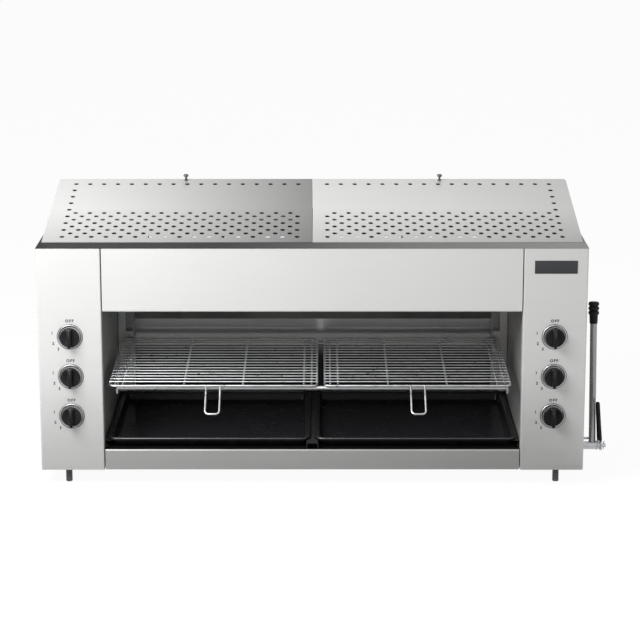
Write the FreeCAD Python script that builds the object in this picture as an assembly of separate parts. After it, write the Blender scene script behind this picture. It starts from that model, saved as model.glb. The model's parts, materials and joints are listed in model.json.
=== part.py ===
import FreeCAD, Part
import math
import os

# Millimetres. x runs to the right, y to the back from the front panels, z up from the surface it stands on.
# The named sizes come first, then the places worked out from them, then one function for each sub-part.

# Body
body_width = 1200.0
body_depth = 430.0
body_height = 504.0
foot_height = 36.0
column_width = 140.0
fascia_height = 143.0
apron_height = 47.0
rear_gap = 38.0

# Sheet metal
sheet = 1.5
liner_sheet = 1.2
bend_radius = 3.0
return_width = 22.0
return_lip = 15.0
back_return = 20.0
pan_lip = 12.0
wall_flange = 15.0
seam_gap = 0.5
panel_seam = 2.0

# Flats that stand for a round on repeated and small parts
wire_sides = 8
small_round_sides = 12
large_round_sides = 24
bend_steps = 3

# Clearances
running_clearance = 0.05
slide_clearance = 0.6
seat_gap = 0.3
pass_clearance = 0.5

# Top deck and its flue openings
flue_front = 75.0
flue_rear_margin = 55.0
flue_inner = 22.0
flue_side_margin = 42.0

# Back panel vents
vent_length = 60.0
vent_height = 6.0
vent_pitch = 90.0
vent_rows = 3
vent_row_pitch = 22.0
vent_columns = 9
vent_drop = 70.0

# Canopies
canopy_front = 54.0
canopy_rear_margin = 31.0
canopy_side_margin = 6.3
canopy_rise = 75.0
canopy_corner = 9.0
canopy_cheek_setback = 6.0
hole_radius = 5.5
hole_pitch = 32.4
hole_row_pitch = 18.4
hole_edge_margin = 33.0
hole_front_margin = 28.0
open_front_rows = 8
open_side_holes = 3
stud_radius = 2.5
stud_height = 10.0
stud_head_radius = 6.0
stud_head_height = 4.5
stud_inset = 8.0
baffle_front_inset = 150.0
baffle_drop = 16.0
baffle_leg_gap = 10.0
baffle_side_margin = 40.0

# Rotary controls
knob_pitch = 90.0
knob_middle_height = 215.0
knobs_per_column = 3
knob_radius = 21.6
knob_skirt = 6.0
knob_height = 19.0
knob_grip_width = 11.0
knob_grip_length = 40.0
knob_taper = 1.6
knob_front_gap = 5.0
knob_travel = 4.0
bezel_outer_radius = 28.5
bezel_inner_radius = 23.0
bezel_thickness = 2.0
spindle_radius = 4.0
spindle_flat = 2.6
spindle_reach = 17.0
spindle_tail = 34.0
spindle_hole_radius = 6.0
valve_width = 28.0
valve_height = 36.0
valve_depth = 40.0
bonnet_radius = 11.0
bonnet_length = 12.0
valve_stub_radius = 6.0

# Gas pipes
pipe_radius = 10.5
pipe_bore = 8.0
elbow_size = 26.0
riser_y = 85.0
pipe_level = 110.0
pipe_top_reach = 24.0
pipe_rear_margin = 20.0
inlet_reach = 25.0
inlet_nut_radius = 15.0
inlet_nut_length = 8.0

# Burners
burner_count = 6
burner_width = 142.0
burner_front = 60.0
burner_length = 260.0
burner_flange_height = 18.0
burner_height = 54.0
burner_top_width = 84.0
burner_top_length = 200.0
plaque_width = 130.0
plaque_length = 240.0
plaque_depth = 12.0
mixer_radius = 13.0
mixer_length = 190.0
shield_height = 118.0

# Badge plate
badge_width = 93.0
badge_height = 29.0
badge_thickness = 1.0
badge_drop = 42.5

# Rack lift
shaft_radius = 9.0
shaft_y = 82.0
shaft_height = 30.0
journal_radius = 4.5
journal_length = 22.0
shaft_left_overhang = 8.0
bush_radius = 12.0
bush_flange_radius = 16.0
bush_flange = 2.0
bush_overlap = 0.6
lift_arm_length = 115.0
lift_arm_rest_angle = -8.0
lever_throw = 40.0
lift_arm_thickness = 6.0
lift_hub_radius = 15.0
lift_eye_radius = 8.0
lift_pin_radius = 4.0
lift_plate_thickness = 3.0
lift_plate_offset = 5.0
lift_plate_margin = 6.0
lift_side_gap = 1.5
lift_slot_clearance = 1.1

# Rack carriage
rack_front = 5.0
rack_height = 192.0
rack_tilt = 2.4
carriage_bar_radius = 5.0
carriage_bar_inset = 8.0
carriage_rear_bar_radius = 4.0
carriage_rear_bar_inset = 14.0
arm_inset = 1.9
arm_thickness = 4.0
arm_height = 16.0
channel_width = 37.5
channel_depth = 40.0
channel_lip = 20.0
channel_foot_gap = 8.0
channel_head_gap = 2.0
guide_height = 52.0
guide_pin_radius = 4.0
guide_pin_pitch = 30.0

# Wire racks
left_rack_side_gap = 12.5
right_rack_side_gap = 22.5
rack_joint_x = 19.0
rack_joint_gap = 12.0
rack_rear_gap = 7.0
frame_wire_radius = 2.5
grid_wire_radius = 1.5
cross_wire_radius = 2.0
rack_corner = 12.0
rack_end_space = 17.0
grid_wire_count = 17
cross_wire_spread = 65.0
cross_wire_edge_inset = 12.0
cross_wire_edge_step = 17.0
handle_wire_radius = 2.2
handle_width = 31.0
handle_length = 76.0
handle_drop = 36.0
handle_corner = 9.0

# Drip trays
tray_front = 16.0
tray_rear_gap = 16.0
tray_side_gap = 7.5
tray_middle_gap = 10.0
tray_rim_height = 67.0
tray_rim_width = 11.0
tray_lip = 5.0
tray_depth = 19.0
tray_slope = 6.0
tray_sheet = 1.2
tray_corner = 22.0
tray_pan_corner = 34.0
runner_ledge = 15.0
runner_leg = 16.0
runner_middle_width = 26.0
runner_rear_gap = 1.0

# Lever
lever_x_offset = 30.0
lever_lean = 6.5
lever_radius = 7.75
lever_wall = 1.5
lever_length = 326.0
grip_crown = 17.0
grip_length = 49.0
grip_head_radius = 12.4
grip_neck_radius = 9.6
grip_tail_radius = 8.9
grip_lobe_pitch = 10.0
grip_lobes = 3
stop_height = 14.0
stop_radius = 2.75
stop_nut_radius = 5.8
stop_nut_thickness = 3.5
washer_radius = 10.5
washer_thickness = 2.5
nut_radius = 12.4
nut_thickness = 5.0
catch_hub_length = 5.6
catch_tab_width = 8.0
catch_tab_length = 25.0
catch_start = 12.8
catch_length = 88.0
catch_root_radius = 6.2
catch_tip_radius = 4.8
catch_lean = -2.0
catch_tilt = 4.4
catch_offset = 2.4
split_pin_radius = 1.2
split_pin_clearance = 0.15
split_pin_half = 8.5
split_pin_head = 2.4
split_pin_head_length = 2.2
split_pin_inset = 4.0

# Feet
foot_x_inset = 57.0
foot_y_inset = 31.0
foot_radius = 7.3
foot_stud_radius = 5.0
foot_stud_length = 42.0
foot_nut_radius = 9.8
foot_nut_height = 9.0

# Places worked out from the sizes
half_width = body_width / 2
opening_half = half_width - column_width
column_centre = half_width - column_width / 2
body_bottom = foot_height
body_top = body_bottom + body_height
opening_bottom = body_bottom + apron_height
opening_top = body_top - fascia_height
deck_bottom = body_top - sheet
pan_top = body_bottom + sheet
wall_face = opening_half + sheet
wall_back = wall_face + liner_sheet
panel_rear = body_depth - sheet
panel_face = panel_rear - sheet
liner_face = body_depth - rear_gap
liner_back = liner_face + liner_sheet
carrier_top = opening_top + liner_sheet
canopy_rear = body_depth - canopy_rear_margin
canopy_half = half_width - canopy_side_margin
canopy_angle = math.atan2(canopy_rise, canopy_rear - canopy_front)
canopy_slope = math.hypot(canopy_rise, canopy_rear - canopy_front)
tray_rim = body_bottom + tray_rim_height
tray_outer = wall_face - tray_side_gap
tray_inner = tray_middle_gap / 2
tray_rear = liner_face - tray_rear_gap
runner_top = tray_rim - tray_lip - seat_gap
channel_inner = wall_face - channel_width
channel_front = liner_face - channel_depth
channel_bottom = tray_rim + channel_foot_gap
channel_top = opening_top - channel_head_gap
rack_base = body_bottom + rack_height
rack_rear = channel_front - rack_rear_gap
carriage_top = rack_base - frame_wire_radius - seat_gap
arm_inner = channel_inner + sheet + slide_clearance + arm_inset
shaft_z = body_bottom + shaft_height
lift_rise = lift_arm_length * (
    math.sin(math.radians(lift_arm_rest_angle + lever_throw)) - math.sin(math.radians(lift_arm_rest_angle))
)
lift_middle = lift_arm_length * (
    math.sin(math.radians(lift_arm_rest_angle + lever_throw / 2)) - math.sin(math.radians(lift_arm_rest_angle))
)
lift_lag = (lift_middle - lift_rise / 2) / 2
lift_pin_z = shaft_z + lift_arm_length * math.sin(math.radians(lift_arm_rest_angle))
lift_pin_far_y = shaft_y + lift_arm_length
lift_pin_near_y = shaft_y + lift_arm_length * math.cos(math.radians(lift_arm_rest_angle + lever_throw))
guide_y = (channel_front + liner_face) / 2
guide_z = carriage_top - arm_height / 2 + (channel_front - rack_front) * math.tan(math.radians(rack_tilt))
guide_pin_low = guide_z - guide_pin_pitch / 2
guide_pin_high = guide_z + guide_pin_pitch / 2
lift_plate_x = wall_back + lift_plate_offset
lift_arm_x = lift_plate_x + lift_plate_thickness + lift_side_gap
lever_x = half_width + lever_x_offset
journal_start = lever_x + lever_radius + pass_clearance
journal_end = journal_start + journal_length
lever_tube_length = lever_length - grip_crown
catch_start_x = journal_start + washer_thickness + seat_gap
nut_start_x = catch_start_x + catch_hub_length + seat_gap
pipe_rear_y = body_depth - pipe_rear_margin
inlet_end = body_depth + inlet_reach
handle_tip_y = rack_front - frame_wire_radius - handle_length * math.cos(math.radians(handle_drop))
origin_x = (journal_end - half_width) / 2
origin_y = (handle_tip_y - handle_wire_radius + inlet_end) / 2

LEFT = -1
RIGHT = 1
RIGHT_ANGLE = 90
X_AXIS = FreeCAD.Vector(1, 0, 0)
Y_AXIS = FreeCAD.Vector(0, 1, 0)
Z_AXIS = FreeCAD.Vector(0, 0, 1)
ORIGIN = FreeCAD.Vector(0, 0, 0)


def vector(x, y, z):
    return FreeCAD.Vector(x, y, z)


def plan(z):
    """Puts a point of a plan drawing at the height z."""
    return lambda a, b: vector(a, b, z)


def side_view(x):
    """Puts a point of a side drawing, y then z, at x."""
    return lambda a, b: vector(x, a, b)


def front_view(y):
    """Puts a point of a front drawing, x then z, at y."""
    return lambda a, b: vector(a, y, b)


def block(x0, x1, y0, y1, z0, z1):
    return Part.makeBox(x1 - x0, y1 - y0, z1 - z0, vector(x0, y0, z0))


def rod(start, end, radius):
    reach = end - start
    return Part.makeCylinder(radius, reach.Length, start, reach)


def tube(start, end, outer, bore):
    return rod(start, end, outer).cut(rod(start, end, bore))


def polygon_face(radius, sides, turned):
    """A regular polygon whose corners lie on the radius, turned by the share of one side."""
    step = 2 * math.pi / sides
    corners = [
        vector(radius * math.cos((index + turned) * step), radius * math.sin((index + turned) * step), 0)
        for index in range(sides)
    ]
    return Part.Face(Part.makePolygon(corners + corners[:1]))


def hexagon(centre, axis, radius, length):
    """A six-sided blank whose corners lie on the radius."""
    solid = polygon_face(radius, 6, 0).extrude(Z_AXIS * length)
    solid.Placement = FreeCAD.Placement(centre, FreeCAD.Rotation(Z_AXIS, axis))
    return solid


def wire_face(radius):
    """The section of a thin wire or tube, drawn with flats at its radius to keep many of them light."""
    return polygon_face(radius / math.cos(math.pi / wire_sides), wire_sides, 0.5)


def wire_bar(start, end, radius):
    reach = end - start
    solid = wire_face(radius).extrude(Z_AXIS * reach.Length)
    solid.Placement = FreeCAD.Placement(start, FreeCAD.Rotation(Z_AXIS, reach))
    return solid


def flat_face(corners):
    return Part.Face(Part.makePolygon(corners + corners[:1]))


def skinned(rings, closed=False):
    """A solid of flat faces between rings of corners, with a lid at each end unless the rings close."""
    faces = [] if closed else [flat_face(rings[0]), flat_face(rings[-1])]
    following = rings[1:] + rings[:1] if closed else rings[1:]
    for low, high in zip(rings, following):
        for index in range(len(low)):
            faces.append(flat_face([low[index - 1], low[index], high[index], high[index - 1]]))
    shell = Part.makeShell(faces)
    shell.sewShape()
    return Part.makeSolid(shell)


def turned(outline, sides, closed=False):
    """A turned form that stands on z, drawn with flats, from the radius and height of each of its rings."""
    step = 2 * math.pi / sides
    rings = []
    for radius, height in outline:
        corners = [(radius * math.cos(index * step), radius * math.sin(index * step)) for index in range(sides)]
        rings.append([vector(x, y, height) for x, y in corners])
    return skinned(rings, closed)


def facing(shape, point, axis):
    """Puts a form that stands on z at the point, with its z along the axis."""
    shape.Placement = FreeCAD.Placement(point, FreeCAD.Rotation(Z_AXIS, axis))
    return shape


def bend_points(x, y, z, radius, from_angle):
    """Points on a level quarter turn about a centre, from the angle on."""
    points = []
    for step in range(bend_steps + 1):
        angle = math.radians(from_angle + RIGHT_ANGLE * step / bend_steps)
        points.append(vector(x + radius * math.cos(angle), y + radius * math.sin(angle), z))
    return points


def wire_along(points, radius, closed=False):
    """A wire with flats along a level path, with a mitre at each of its points."""
    corner_radius = radius / math.cos(math.pi / wire_sides)
    rings = []
    for index, point in enumerate(points):
        before = point - points[index - 1]
        after = points[(index + 1) % len(points)] - point
        if index == 0 and not closed:
            before = after
        if index == len(points) - 1 and not closed:
            after = before
        first = Z_AXIS.cross(before)
        second = Z_AXIS.cross(after)
        first.normalize()
        second.normalize()
        mitre = (first + second) * (1 / (1 + first.dot(second)))
        ring = []
        for side in range(wire_sides):
            angle = (side + 0.5) * 2 * math.pi / wire_sides
            outward = mitre * (corner_radius * math.cos(angle))
            upward = Z_AXIS * (corner_radius * math.sin(angle))
            ring.append(point + outward + upward)
        rings.append(ring)
    return skinned(rings, closed)


def mirrored(shape):
    return shape.mirror(ORIGIN, X_AXIS)


def on_side(shape, side):
    """The shape as drawn for the right, or its mirror image for the left."""
    return shape if side == RIGHT else mirrored(shape)


def rounded_wire(points, radii, place):
    """A closed outline with an arc at each corner whose radius is above zero."""
    count = len(points)
    starts = []
    arcs = []
    ends = []
    for index in range(count):
        corner = vector(points[index][0], points[index][1], 0)
        before = vector(points[index - 1][0], points[index - 1][1], 0) - corner
        after = vector(points[(index + 1) % count][0], points[(index + 1) % count][1], 0) - corner
        before.normalize()
        after.normalize()
        radius = radii[index]
        if radius <= 0:
            starts.append(corner)
            arcs.append(None)
            ends.append(corner)
            continue
        half = before.getAngle(after) / 2
        middle = before + after
        middle.normalize()
        reach = radius / math.tan(half)
        centre = corner + middle * (radius / math.sin(half))
        starts.append(corner + before * reach)
        arcs.append(centre - middle * radius)
        ends.append(corner + after * reach)
    edges = []
    for index in range(count):
        first = place(starts[index].x, starts[index].y)
        last = place(ends[index].x, ends[index].y)
        following = starts[(index + 1) % count]
        following = place(following.x, following.y)
        if arcs[index]:
            edges.append(Part.Arc(first, place(arcs[index].x, arcs[index].y), last).toShape())
        if (following - last).Length > 1e-7:
            edges.append(Part.LineSegment(last, following).toShape())
    return Part.Wire(edges)


def sharp_wire(points, place):
    return rounded_wire(points, [0] * len(points), place)


def rounded_plate(x0, x1, y0, y1, radius, place):
    """A rectangle with four round corners."""
    points = [(x0, y0), (x1, y0), (x1, y1), (x0, y1)]
    return rounded_wire(points, [radius] * len(points), place)


def prism(wire, direction):
    return Part.Face(wire).extrude(direction)


def folded_sheet(path, thickness, place, direction):
    """A sheet folded along a path. The path is one face of the sheet, and the sheet lies to its left."""
    moved = []
    path_radii = []
    moved_radii = []
    last = len(path) - 1
    for index, (a, b) in enumerate(path):
        lines = []
        if index > 0:
            lines.append(vector(a - path[index - 1][0], b - path[index - 1][1], 0))
        if index < last:
            lines.append(vector(path[index + 1][0] - a, path[index + 1][1] - b, 0))
        for line in lines:
            line.normalize()
        lefts = [vector(-line.y, line.x, 0) for line in lines]
        total = lefts[0] + lefts[-1]
        shift = total * (thickness / total.dot(lefts[0]))
        moved.append((a + shift.x, b + shift.y))
        turn = lines[0].cross(lines[-1]).z if len(lines) == 2 else 0
        inner_bend = bend_radius - thickness
        path_radii.append(0 if turn == 0 else bend_radius if turn > 0 else inner_bend)
        moved_radii.append(0 if turn == 0 else inner_bend if turn > 0 else bend_radius)
    points = list(path) + moved[::-1]
    radii = path_radii + moved_radii[::-1]
    return prism(rounded_wire(points, radii, place), direction)


def tilted(shape):
    """Turns a shape of the rack's flat drawing to the rack's slope, with the front low."""
    moved = shape.copy()
    moved.rotate(vector(0, rack_front, rack_base), X_AXIS, rack_tilt)
    return moved


def leaned(shape, lean):
    """Turns a shape drawn upright over the cross shaft backwards by the lean."""
    moved = shape.copy()
    moved.rotate(vector(0, shaft_y, shaft_z), X_AXIS, -lean)
    return moved


def knob_levels():
    middle = (knobs_per_column - 1) / 2
    return [body_bottom + knob_middle_height + (middle - row) * knob_pitch for row in range(knobs_per_column)]


def column_casing(side):
    """Front, outer side and returns of one column, folded from one sheet."""
    path = [
        (opening_half, return_width),
        (opening_half, 0),
        (half_width, 0),
        (half_width, body_depth),
        (half_width - back_return, body_depth),
    ]
    casing = folded_sheet(path, sheet, plan(body_bottom), Z_AXIS * (deck_bottom - body_bottom))
    for level in knob_levels():
        start = vector(column_centre, -sheet, level)
        casing = casing.cut(wire_bar(start, start + Y_AXIS * return_width, spindle_hole_radius))
    if side == RIGHT:
        start = vector(half_width - bend_radius, shaft_y, shaft_z)
        casing = casing.cut(rod(start, start + X_AXIS * (2 * bend_radius), bush_radius))
    return on_side(casing, side)


def front_fascia():
    path = [
        (0, deck_bottom),
        (0, opening_top),
        (return_width, opening_top),
        (return_width, opening_top + return_lip),
    ]
    start = panel_seam - opening_half
    return folded_sheet(path, sheet, side_view(start), X_AXIS * (-2 * start))


def bottom_apron():
    path = [
        (return_width, opening_bottom),
        (0, opening_bottom),
        (0, body_bottom),
        (return_width, body_bottom),
    ]
    start = panel_seam - opening_half
    return folded_sheet(path, sheet, side_view(start), X_AXIS * (-2 * start))


def top_deck():
    """The flat top with one flue opening under each canopy."""
    deck = block(-half_width, half_width, 0, body_depth, deck_bottom, body_top)
    flue_outer = half_width - flue_side_margin
    flue_rear = body_depth - flue_rear_margin
    for side in (LEFT, RIGHT):
        x0 = min(side * flue_inner, side * flue_outer)
        x1 = max(side * flue_inner, side * flue_outer)
        deck = deck.cut(block(x0, x1, flue_front, flue_rear, deck_bottom - sheet, body_top + sheet))
    return deck


def foot_places():
    x = half_width - foot_x_inset
    return {
        "front_left": (-x, foot_y_inset),
        "front_right": (x, foot_y_inset),
        "rear_left": (-x, body_depth - foot_y_inset),
        "rear_right": (x, body_depth - foot_y_inset),
    }


def base_pan():
    half = half_width - sheet
    path = [
        (-half, body_bottom + pan_lip),
        (-half, body_bottom),
        (half, body_bottom),
        (half, body_bottom + pan_lip),
    ]
    start = return_width + seam_gap
    pan = folded_sheet(path, sheet, front_view(start), Y_AXIS * (panel_face - start))
    for x, y in foot_places().values():
        low = vector(x, y, body_bottom - sheet)
        pan = pan.cut(wire_bar(low, low + Z_AXIS * (3 * sheet), foot_stud_radius + slide_clearance))
    return pan


def back_panel():
    """The flat back with rows of slotted vents and the hole for the gas inlet."""
    half = half_width - bend_radius
    panel = block(-half, half, panel_face, panel_rear, pan_top, deck_bottom)
    vents = []
    for row in range(vent_rows):
        z = deck_bottom - vent_drop - row * vent_row_pitch
        for column in range(vent_columns):
            left = (column - (vent_columns - 1) / 2) * vent_pitch - vent_length / 2
            vents.append(block(left, left + vent_length, panel_face - sheet, body_depth, z, z + vent_height))
    start = vector(column_centre, panel_face - sheet, pipe_level)
    hole = rod(start, vector(column_centre, body_depth, pipe_level), pipe_radius + pass_clearance)
    return panel.cut(vents + [hole])


def guide_slot():
    """The upright slot that the carriage's guide pins run in, cut through channel and wall."""
    half = guide_pin_radius + slide_clearance
    low = guide_pin_low - half
    high = guide_pin_high + lift_rise + half
    points = [(guide_y - half, low), (guide_y + half, low), (guide_y + half, high), (guide_y - half, high)]
    start = wall_face - 2 * bend_radius
    return prism(sharp_wire(points, side_view(start)), X_AXIS * (4 * bend_radius))


def inner_wall(side):
    """The cavity's side wall, with the bush hole and the guide slot."""
    path = [(wall_face + wall_flange, panel_face), (wall_face, panel_face), (wall_face, bend_radius)]
    wall = folded_sheet(path, liner_sheet, plan(pan_top), Z_AXIS * (deck_bottom - pan_top))
    start = vector(wall_face - sheet, shaft_y, shaft_z)
    wall = wall.cut(rod(start, start + X_AXIS * (3 * sheet), bush_radius))
    reach = pipe_radius + pass_clearance
    gap = block(
        wall_face - sheet, wall_back + sheet, pipe_rear_y - reach, pipe_rear_y + reach,
        pan_top, pipe_level + reach,
    )
    return on_side(wall.cut(gap).cut(guide_slot()), side)


def back_liner():
    return block(-wall_face, wall_face, liner_face, liner_back, pan_top, opening_top)


def burner_places():
    pitch = 2 * wall_face / burner_count
    return [(index - (burner_count - 1) / 2) * pitch for index in range(burner_count)]


def burner_carrier():
    """The plate that carries the burners, with a shield hanging from its rear edge."""
    path = [
        (return_width, opening_top + return_lip),
        (return_width, opening_top),
        (liner_face - liner_sheet, opening_top),
        (liner_face - liner_sheet, opening_top - shield_height),
    ]
    carrier = folded_sheet(path, liner_sheet, side_view(-wall_face), X_AXIS * (2 * wall_face))
    for side in (LEFT, RIGHT):
        corner = block(
            channel_inner - pass_clearance, wall_face + sheet,
            liner_face - bend_radius, liner_face + sheet,
            opening_top - shield_height - sheet, opening_top,
        )
        carrier = carrier.cut(on_side(corner, side))
    half = plaque_width / 2 + pass_clearance
    front = burner_front + (burner_length - plaque_length) / 2 - pass_clearance
    rear = front + plaque_length + 2 * pass_clearance
    for x in burner_places():
        carrier = carrier.cut(block(x - half, x + half, front, rear, opening_top - sheet, carrier_top + sheet))
    return carrier


def burner_shell(x, inset):
    """The outline of one plenum box and its tapered hood, drawn smaller by the inset."""
    middle = burner_front + burner_length / 2
    box_top = carrier_top + burner_flange_height
    half = burner_width / 2 - inset
    reach = burner_length / 2 - inset
    half_top = burner_top_width / 2 - inset
    reach_top = burner_top_length / 2 - inset
    rings = []
    for a, b, z in (
        (half, reach, carrier_top),
        (half, reach, box_top),
        (half_top, reach_top, carrier_top + burner_height - inset),
    ):
        corners = [(x - a, middle - b), (x + a, middle - b), (x + a, middle + b), (x - a, middle + b)]
        rings.append([vector(corner_x, corner_y, z) for corner_x, corner_y in corners])
    return skinned(rings)


def burner_housings():
    """Six hollow plenum boxes, each with a tapered hood and a mixing tube on top."""
    housings = []
    middle = burner_front + burner_length / 2
    level = carrier_top + burner_height + mixer_radius / 2
    for x in burner_places():
        start = vector(x, middle - mixer_length / 2, level)
        mixer = wire_bar(start, start + Y_AXIS * mixer_length, mixer_radius)
        shell = burner_shell(x, 0).fuse(mixer)
        housings.append(shell.cut(burner_shell(x, liner_sheet)))
    return Part.makeCompound(housings)


def burner_plaques():
    half = plaque_width / 2
    front = burner_front + (burner_length - plaque_length) / 2
    low = carrier_top - plaque_depth
    return Part.makeCompound([
        block(x - half, x + half, front, front + plaque_length, low, carrier_top) for x in burner_places()
    ])


def guide_channel(side):
    """An upright channel in the rear corner of the cavity that guides the carriage."""
    path = [
        (wall_face - channel_lip, channel_front),
        (wall_face, channel_front),
        (wall_face, liner_face),
        (channel_inner, liner_face),
        (channel_inner, channel_front),
    ]
    channel = folded_sheet(path, sheet, plan(channel_bottom), Z_AXIS * (channel_top - channel_bottom))
    return on_side(channel.cut(guide_slot()), side)


def guide_channels():
    return Part.makeCompound([guide_channel(LEFT), guide_channel(RIGHT)])


def tray_runners():
    """Two ledges on the walls and one beam between the trays. The trays hang on them by their rims."""
    front = return_width + seam_gap
    rear = liner_face - runner_rear_gap
    path = [
        (wall_face, runner_top - runner_leg),
        (wall_face, runner_top),
        (wall_face - runner_ledge, runner_top),
    ]
    ledge = folded_sheet(path, sheet, front_view(front), Y_AXIS * (rear - front))
    half = runner_middle_width / 2
    path = [
        (half, opening_bottom),
        (half, runner_top),
        (-half, runner_top),
        (-half, opening_bottom),
    ]
    beam = folded_sheet(path, sheet, front_view(bend_radius), Y_AXIS * (rear - bend_radius))
    return Part.makeCompound([mirrored(ledge), beam, ledge])


def riser_top():
    return knob_levels()[0] + pipe_top_reach


def elbow(point):
    half = elbow_size / 2
    return block(
        point.x - half, point.x + half, point.y - half, point.y + half, point.z - half, point.z + half
    )


def pipe_run(side):
    """One half of the manifold: riser behind the valves, run to the back and half of the cross pipe."""
    x = column_centre
    corner = vector(x, riser_y, pipe_level)
    back = vector(x, pipe_rear_y, pipe_level)
    parts = [
        wire_bar(corner, vector(x, riser_y, riser_top()), pipe_radius),
        wire_bar(corner, back, pipe_radius),
        wire_bar(back, vector(0, pipe_rear_y, pipe_level), pipe_radius),
        elbow(corner),
        elbow(back),
    ]
    return on_side(parts[0].fuse(parts[1:]), side)


def gas_manifold():
    return pipe_run(LEFT).fuse(pipe_run(RIGHT))


def gas_inlet():
    """The threaded nipple and its hexagon at the back of the right column."""
    start = vector(column_centre, pipe_rear_y + elbow_size / 2, pipe_level)
    end = vector(column_centre, inlet_end, pipe_level)
    nut = hexagon(vector(column_centre, panel_rear, pipe_level), Y_AXIS, inlet_nut_radius, inlet_nut_length)
    nipple = rod(start, end, pipe_radius).fuse(nut)
    return nipple.cut(wire_bar(start, end + Y_AXIS, pipe_bore))


def gas_valve(level):
    """A valve body with a six-sided bonnet against the panel and a stub that ends on the riser."""
    x = column_centre
    front = sheet + bonnet_length
    rear = front + valve_depth
    half = valve_width / 2
    body = block(x - half, x + half, front, rear, level - valve_height / 2, level + valve_height / 2)
    bonnet = hexagon(vector(x, sheet, level), Y_AXIS, bonnet_radius, bonnet_length)
    stub = wire_bar(vector(x, rear, level), vector(x, riser_y - pipe_radius, level), valve_stub_radius)
    bore_end = vector(x, spindle_tail + pass_clearance, level)
    bore = rod(vector(x, 0, level), bore_end, spindle_radius + running_clearance)
    return body.fuse([bonnet, stub]).cut(bore)


def gas_valves():
    valves = []
    for side in (LEFT, RIGHT):
        for level in knob_levels():
            valves.append(on_side(gas_valve(level), side))
    return Part.makeCompound(valves)


def spindle_bar(radius, flat, rear, front, level):
    """A round bar along y with a flat on top, as a D-shaped shaft end has."""
    x = column_centre
    bar = rod(vector(x, rear, level), vector(x, front, level), radius)
    width = 2 * radius
    return bar.cut(block(x - width, x + width, front - radius, rear + radius, level + flat, level + width))


def spindle(side, level):
    """The whole bar has the flat. In the valve it turns on the rest of its round."""
    return on_side(spindle_bar(spindle_radius, spindle_flat, spindle_tail, -spindle_reach, level), side)


def knob(side, level):
    """A round skirt with an upright grip bar across it, tapered at both ends, and a D-shaped bore."""
    x = column_centre
    back = vector(x, -knob_front_gap, level)
    forward = Y_AXIS * -1
    skirt = turned([(knob_radius, 0), (knob_radius - knob_taper, knob_skirt)], large_round_sides)
    skirt = facing(skirt, back, forward)
    face = -knob_front_gap - knob_skirt
    top = -knob_front_gap - knob_height
    half = knob_grip_width / 2
    reach = knob_grip_length / 2
    section = [
        (x - half, face),
        (x - half + knob_taper, top),
        (x + half - knob_taper, top),
        (x + half, face),
    ]
    grip = prism(sharp_wire(section, plan(level - reach)), Z_AXIS * (2 * reach))
    ends = turned([(reach, 0), (reach - knob_taper, knob_height - knob_skirt)], large_round_sides)
    ends = facing(ends, vector(x, face, level), forward)
    bore = spindle_bar(
        spindle_radius + running_clearance, spindle_flat + running_clearance,
        -knob_front_gap + knob_travel, -spindle_reach - knob_travel - pass_clearance, level,
    )
    return on_side(skirt.fuse(grip.common(ends)).cut(bore), side)


def knob_bezels():
    rings = []
    for side in (LEFT, RIGHT):
        for level in knob_levels():
            outline = [
                (bezel_inner_radius, 0), (bezel_outer_radius, 0),
                (bezel_outer_radius, bezel_thickness), (bezel_inner_radius, bezel_thickness),
            ]
            ring = turned(outline, large_round_sides, closed=True)
            rings.append(facing(ring, vector(side * column_centre, 0, level), Y_AXIS * -1))
    return Part.makeCompound(rings)


def badge_plate():
    z = body_top - badge_drop
    half = badge_width / 2
    return block(
        column_centre - half, column_centre + half, -badge_thickness, 0,
        z - badge_height / 2, z + badge_height / 2,
    )


def foot(place):
    """A levelling foot: a round shank below the pan and a stud up through it."""
    x, y = foot_places()[place]
    top = vector(x, y, foot_height - seat_gap)
    shank = rod(vector(x, y, 0), top, foot_radius)
    return shank.fuse(rod(top, top + Z_AXIS * foot_stud_length, foot_stud_radius))


def foot_nuts():
    nuts = []
    for x, y in foot_places().values():
        low = vector(x, y, pan_top)
        nut = hexagon(low, Z_AXIS, foot_nut_radius, foot_nut_height)
        nuts.append(nut.cut(rod(low, low + Z_AXIS * foot_nut_height, foot_stud_radius + running_clearance)))
    return Part.makeCompound(nuts)


def flanged_bush(inner, outer, flange_at_start):
    """A bush from one x to the other, with its flange at one end."""
    start = vector(inner, shaft_y, shaft_z)
    end = vector(outer, shaft_y, shaft_z)
    body = rod(start, end, bush_radius)
    edge = start if flange_at_start else end - X_AXIS * bush_flange
    flange = turned([(bush_flange_radius, 0), (bush_flange_radius, bush_flange)], small_round_sides)
    body = body.fuse(facing(flange, edge, X_AXIS))
    return body.cut(rod(start, end, shaft_radius + running_clearance))


def shaft_bushes():
    inner = flanged_bush(wall_face - bush_overlap, wall_back + bush_flange, False)
    outer = flanged_bush(half_width - sheet - bush_flange, half_width + bush_overlap, True)
    return Part.makeCompound([mirrored(inner), inner, outer])


def lever_stop():
    """A thin peg on the right-hand side that the lever leans back against."""
    lean = math.radians(lever_lean)
    gap = lever_radius + stop_radius + seat_gap
    y = shaft_y + stop_height * math.sin(lean) + gap * math.cos(lean)
    z = shaft_z + stop_height * math.cos(lean) - gap * math.sin(lean)
    start = vector(half_width, y, z)
    peg = rod(start, vector(lever_x + lever_radius, y, z), stop_radius)
    return peg.fuse(hexagon(start, X_AXIS, stop_nut_radius, stop_nut_thickness))


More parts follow.
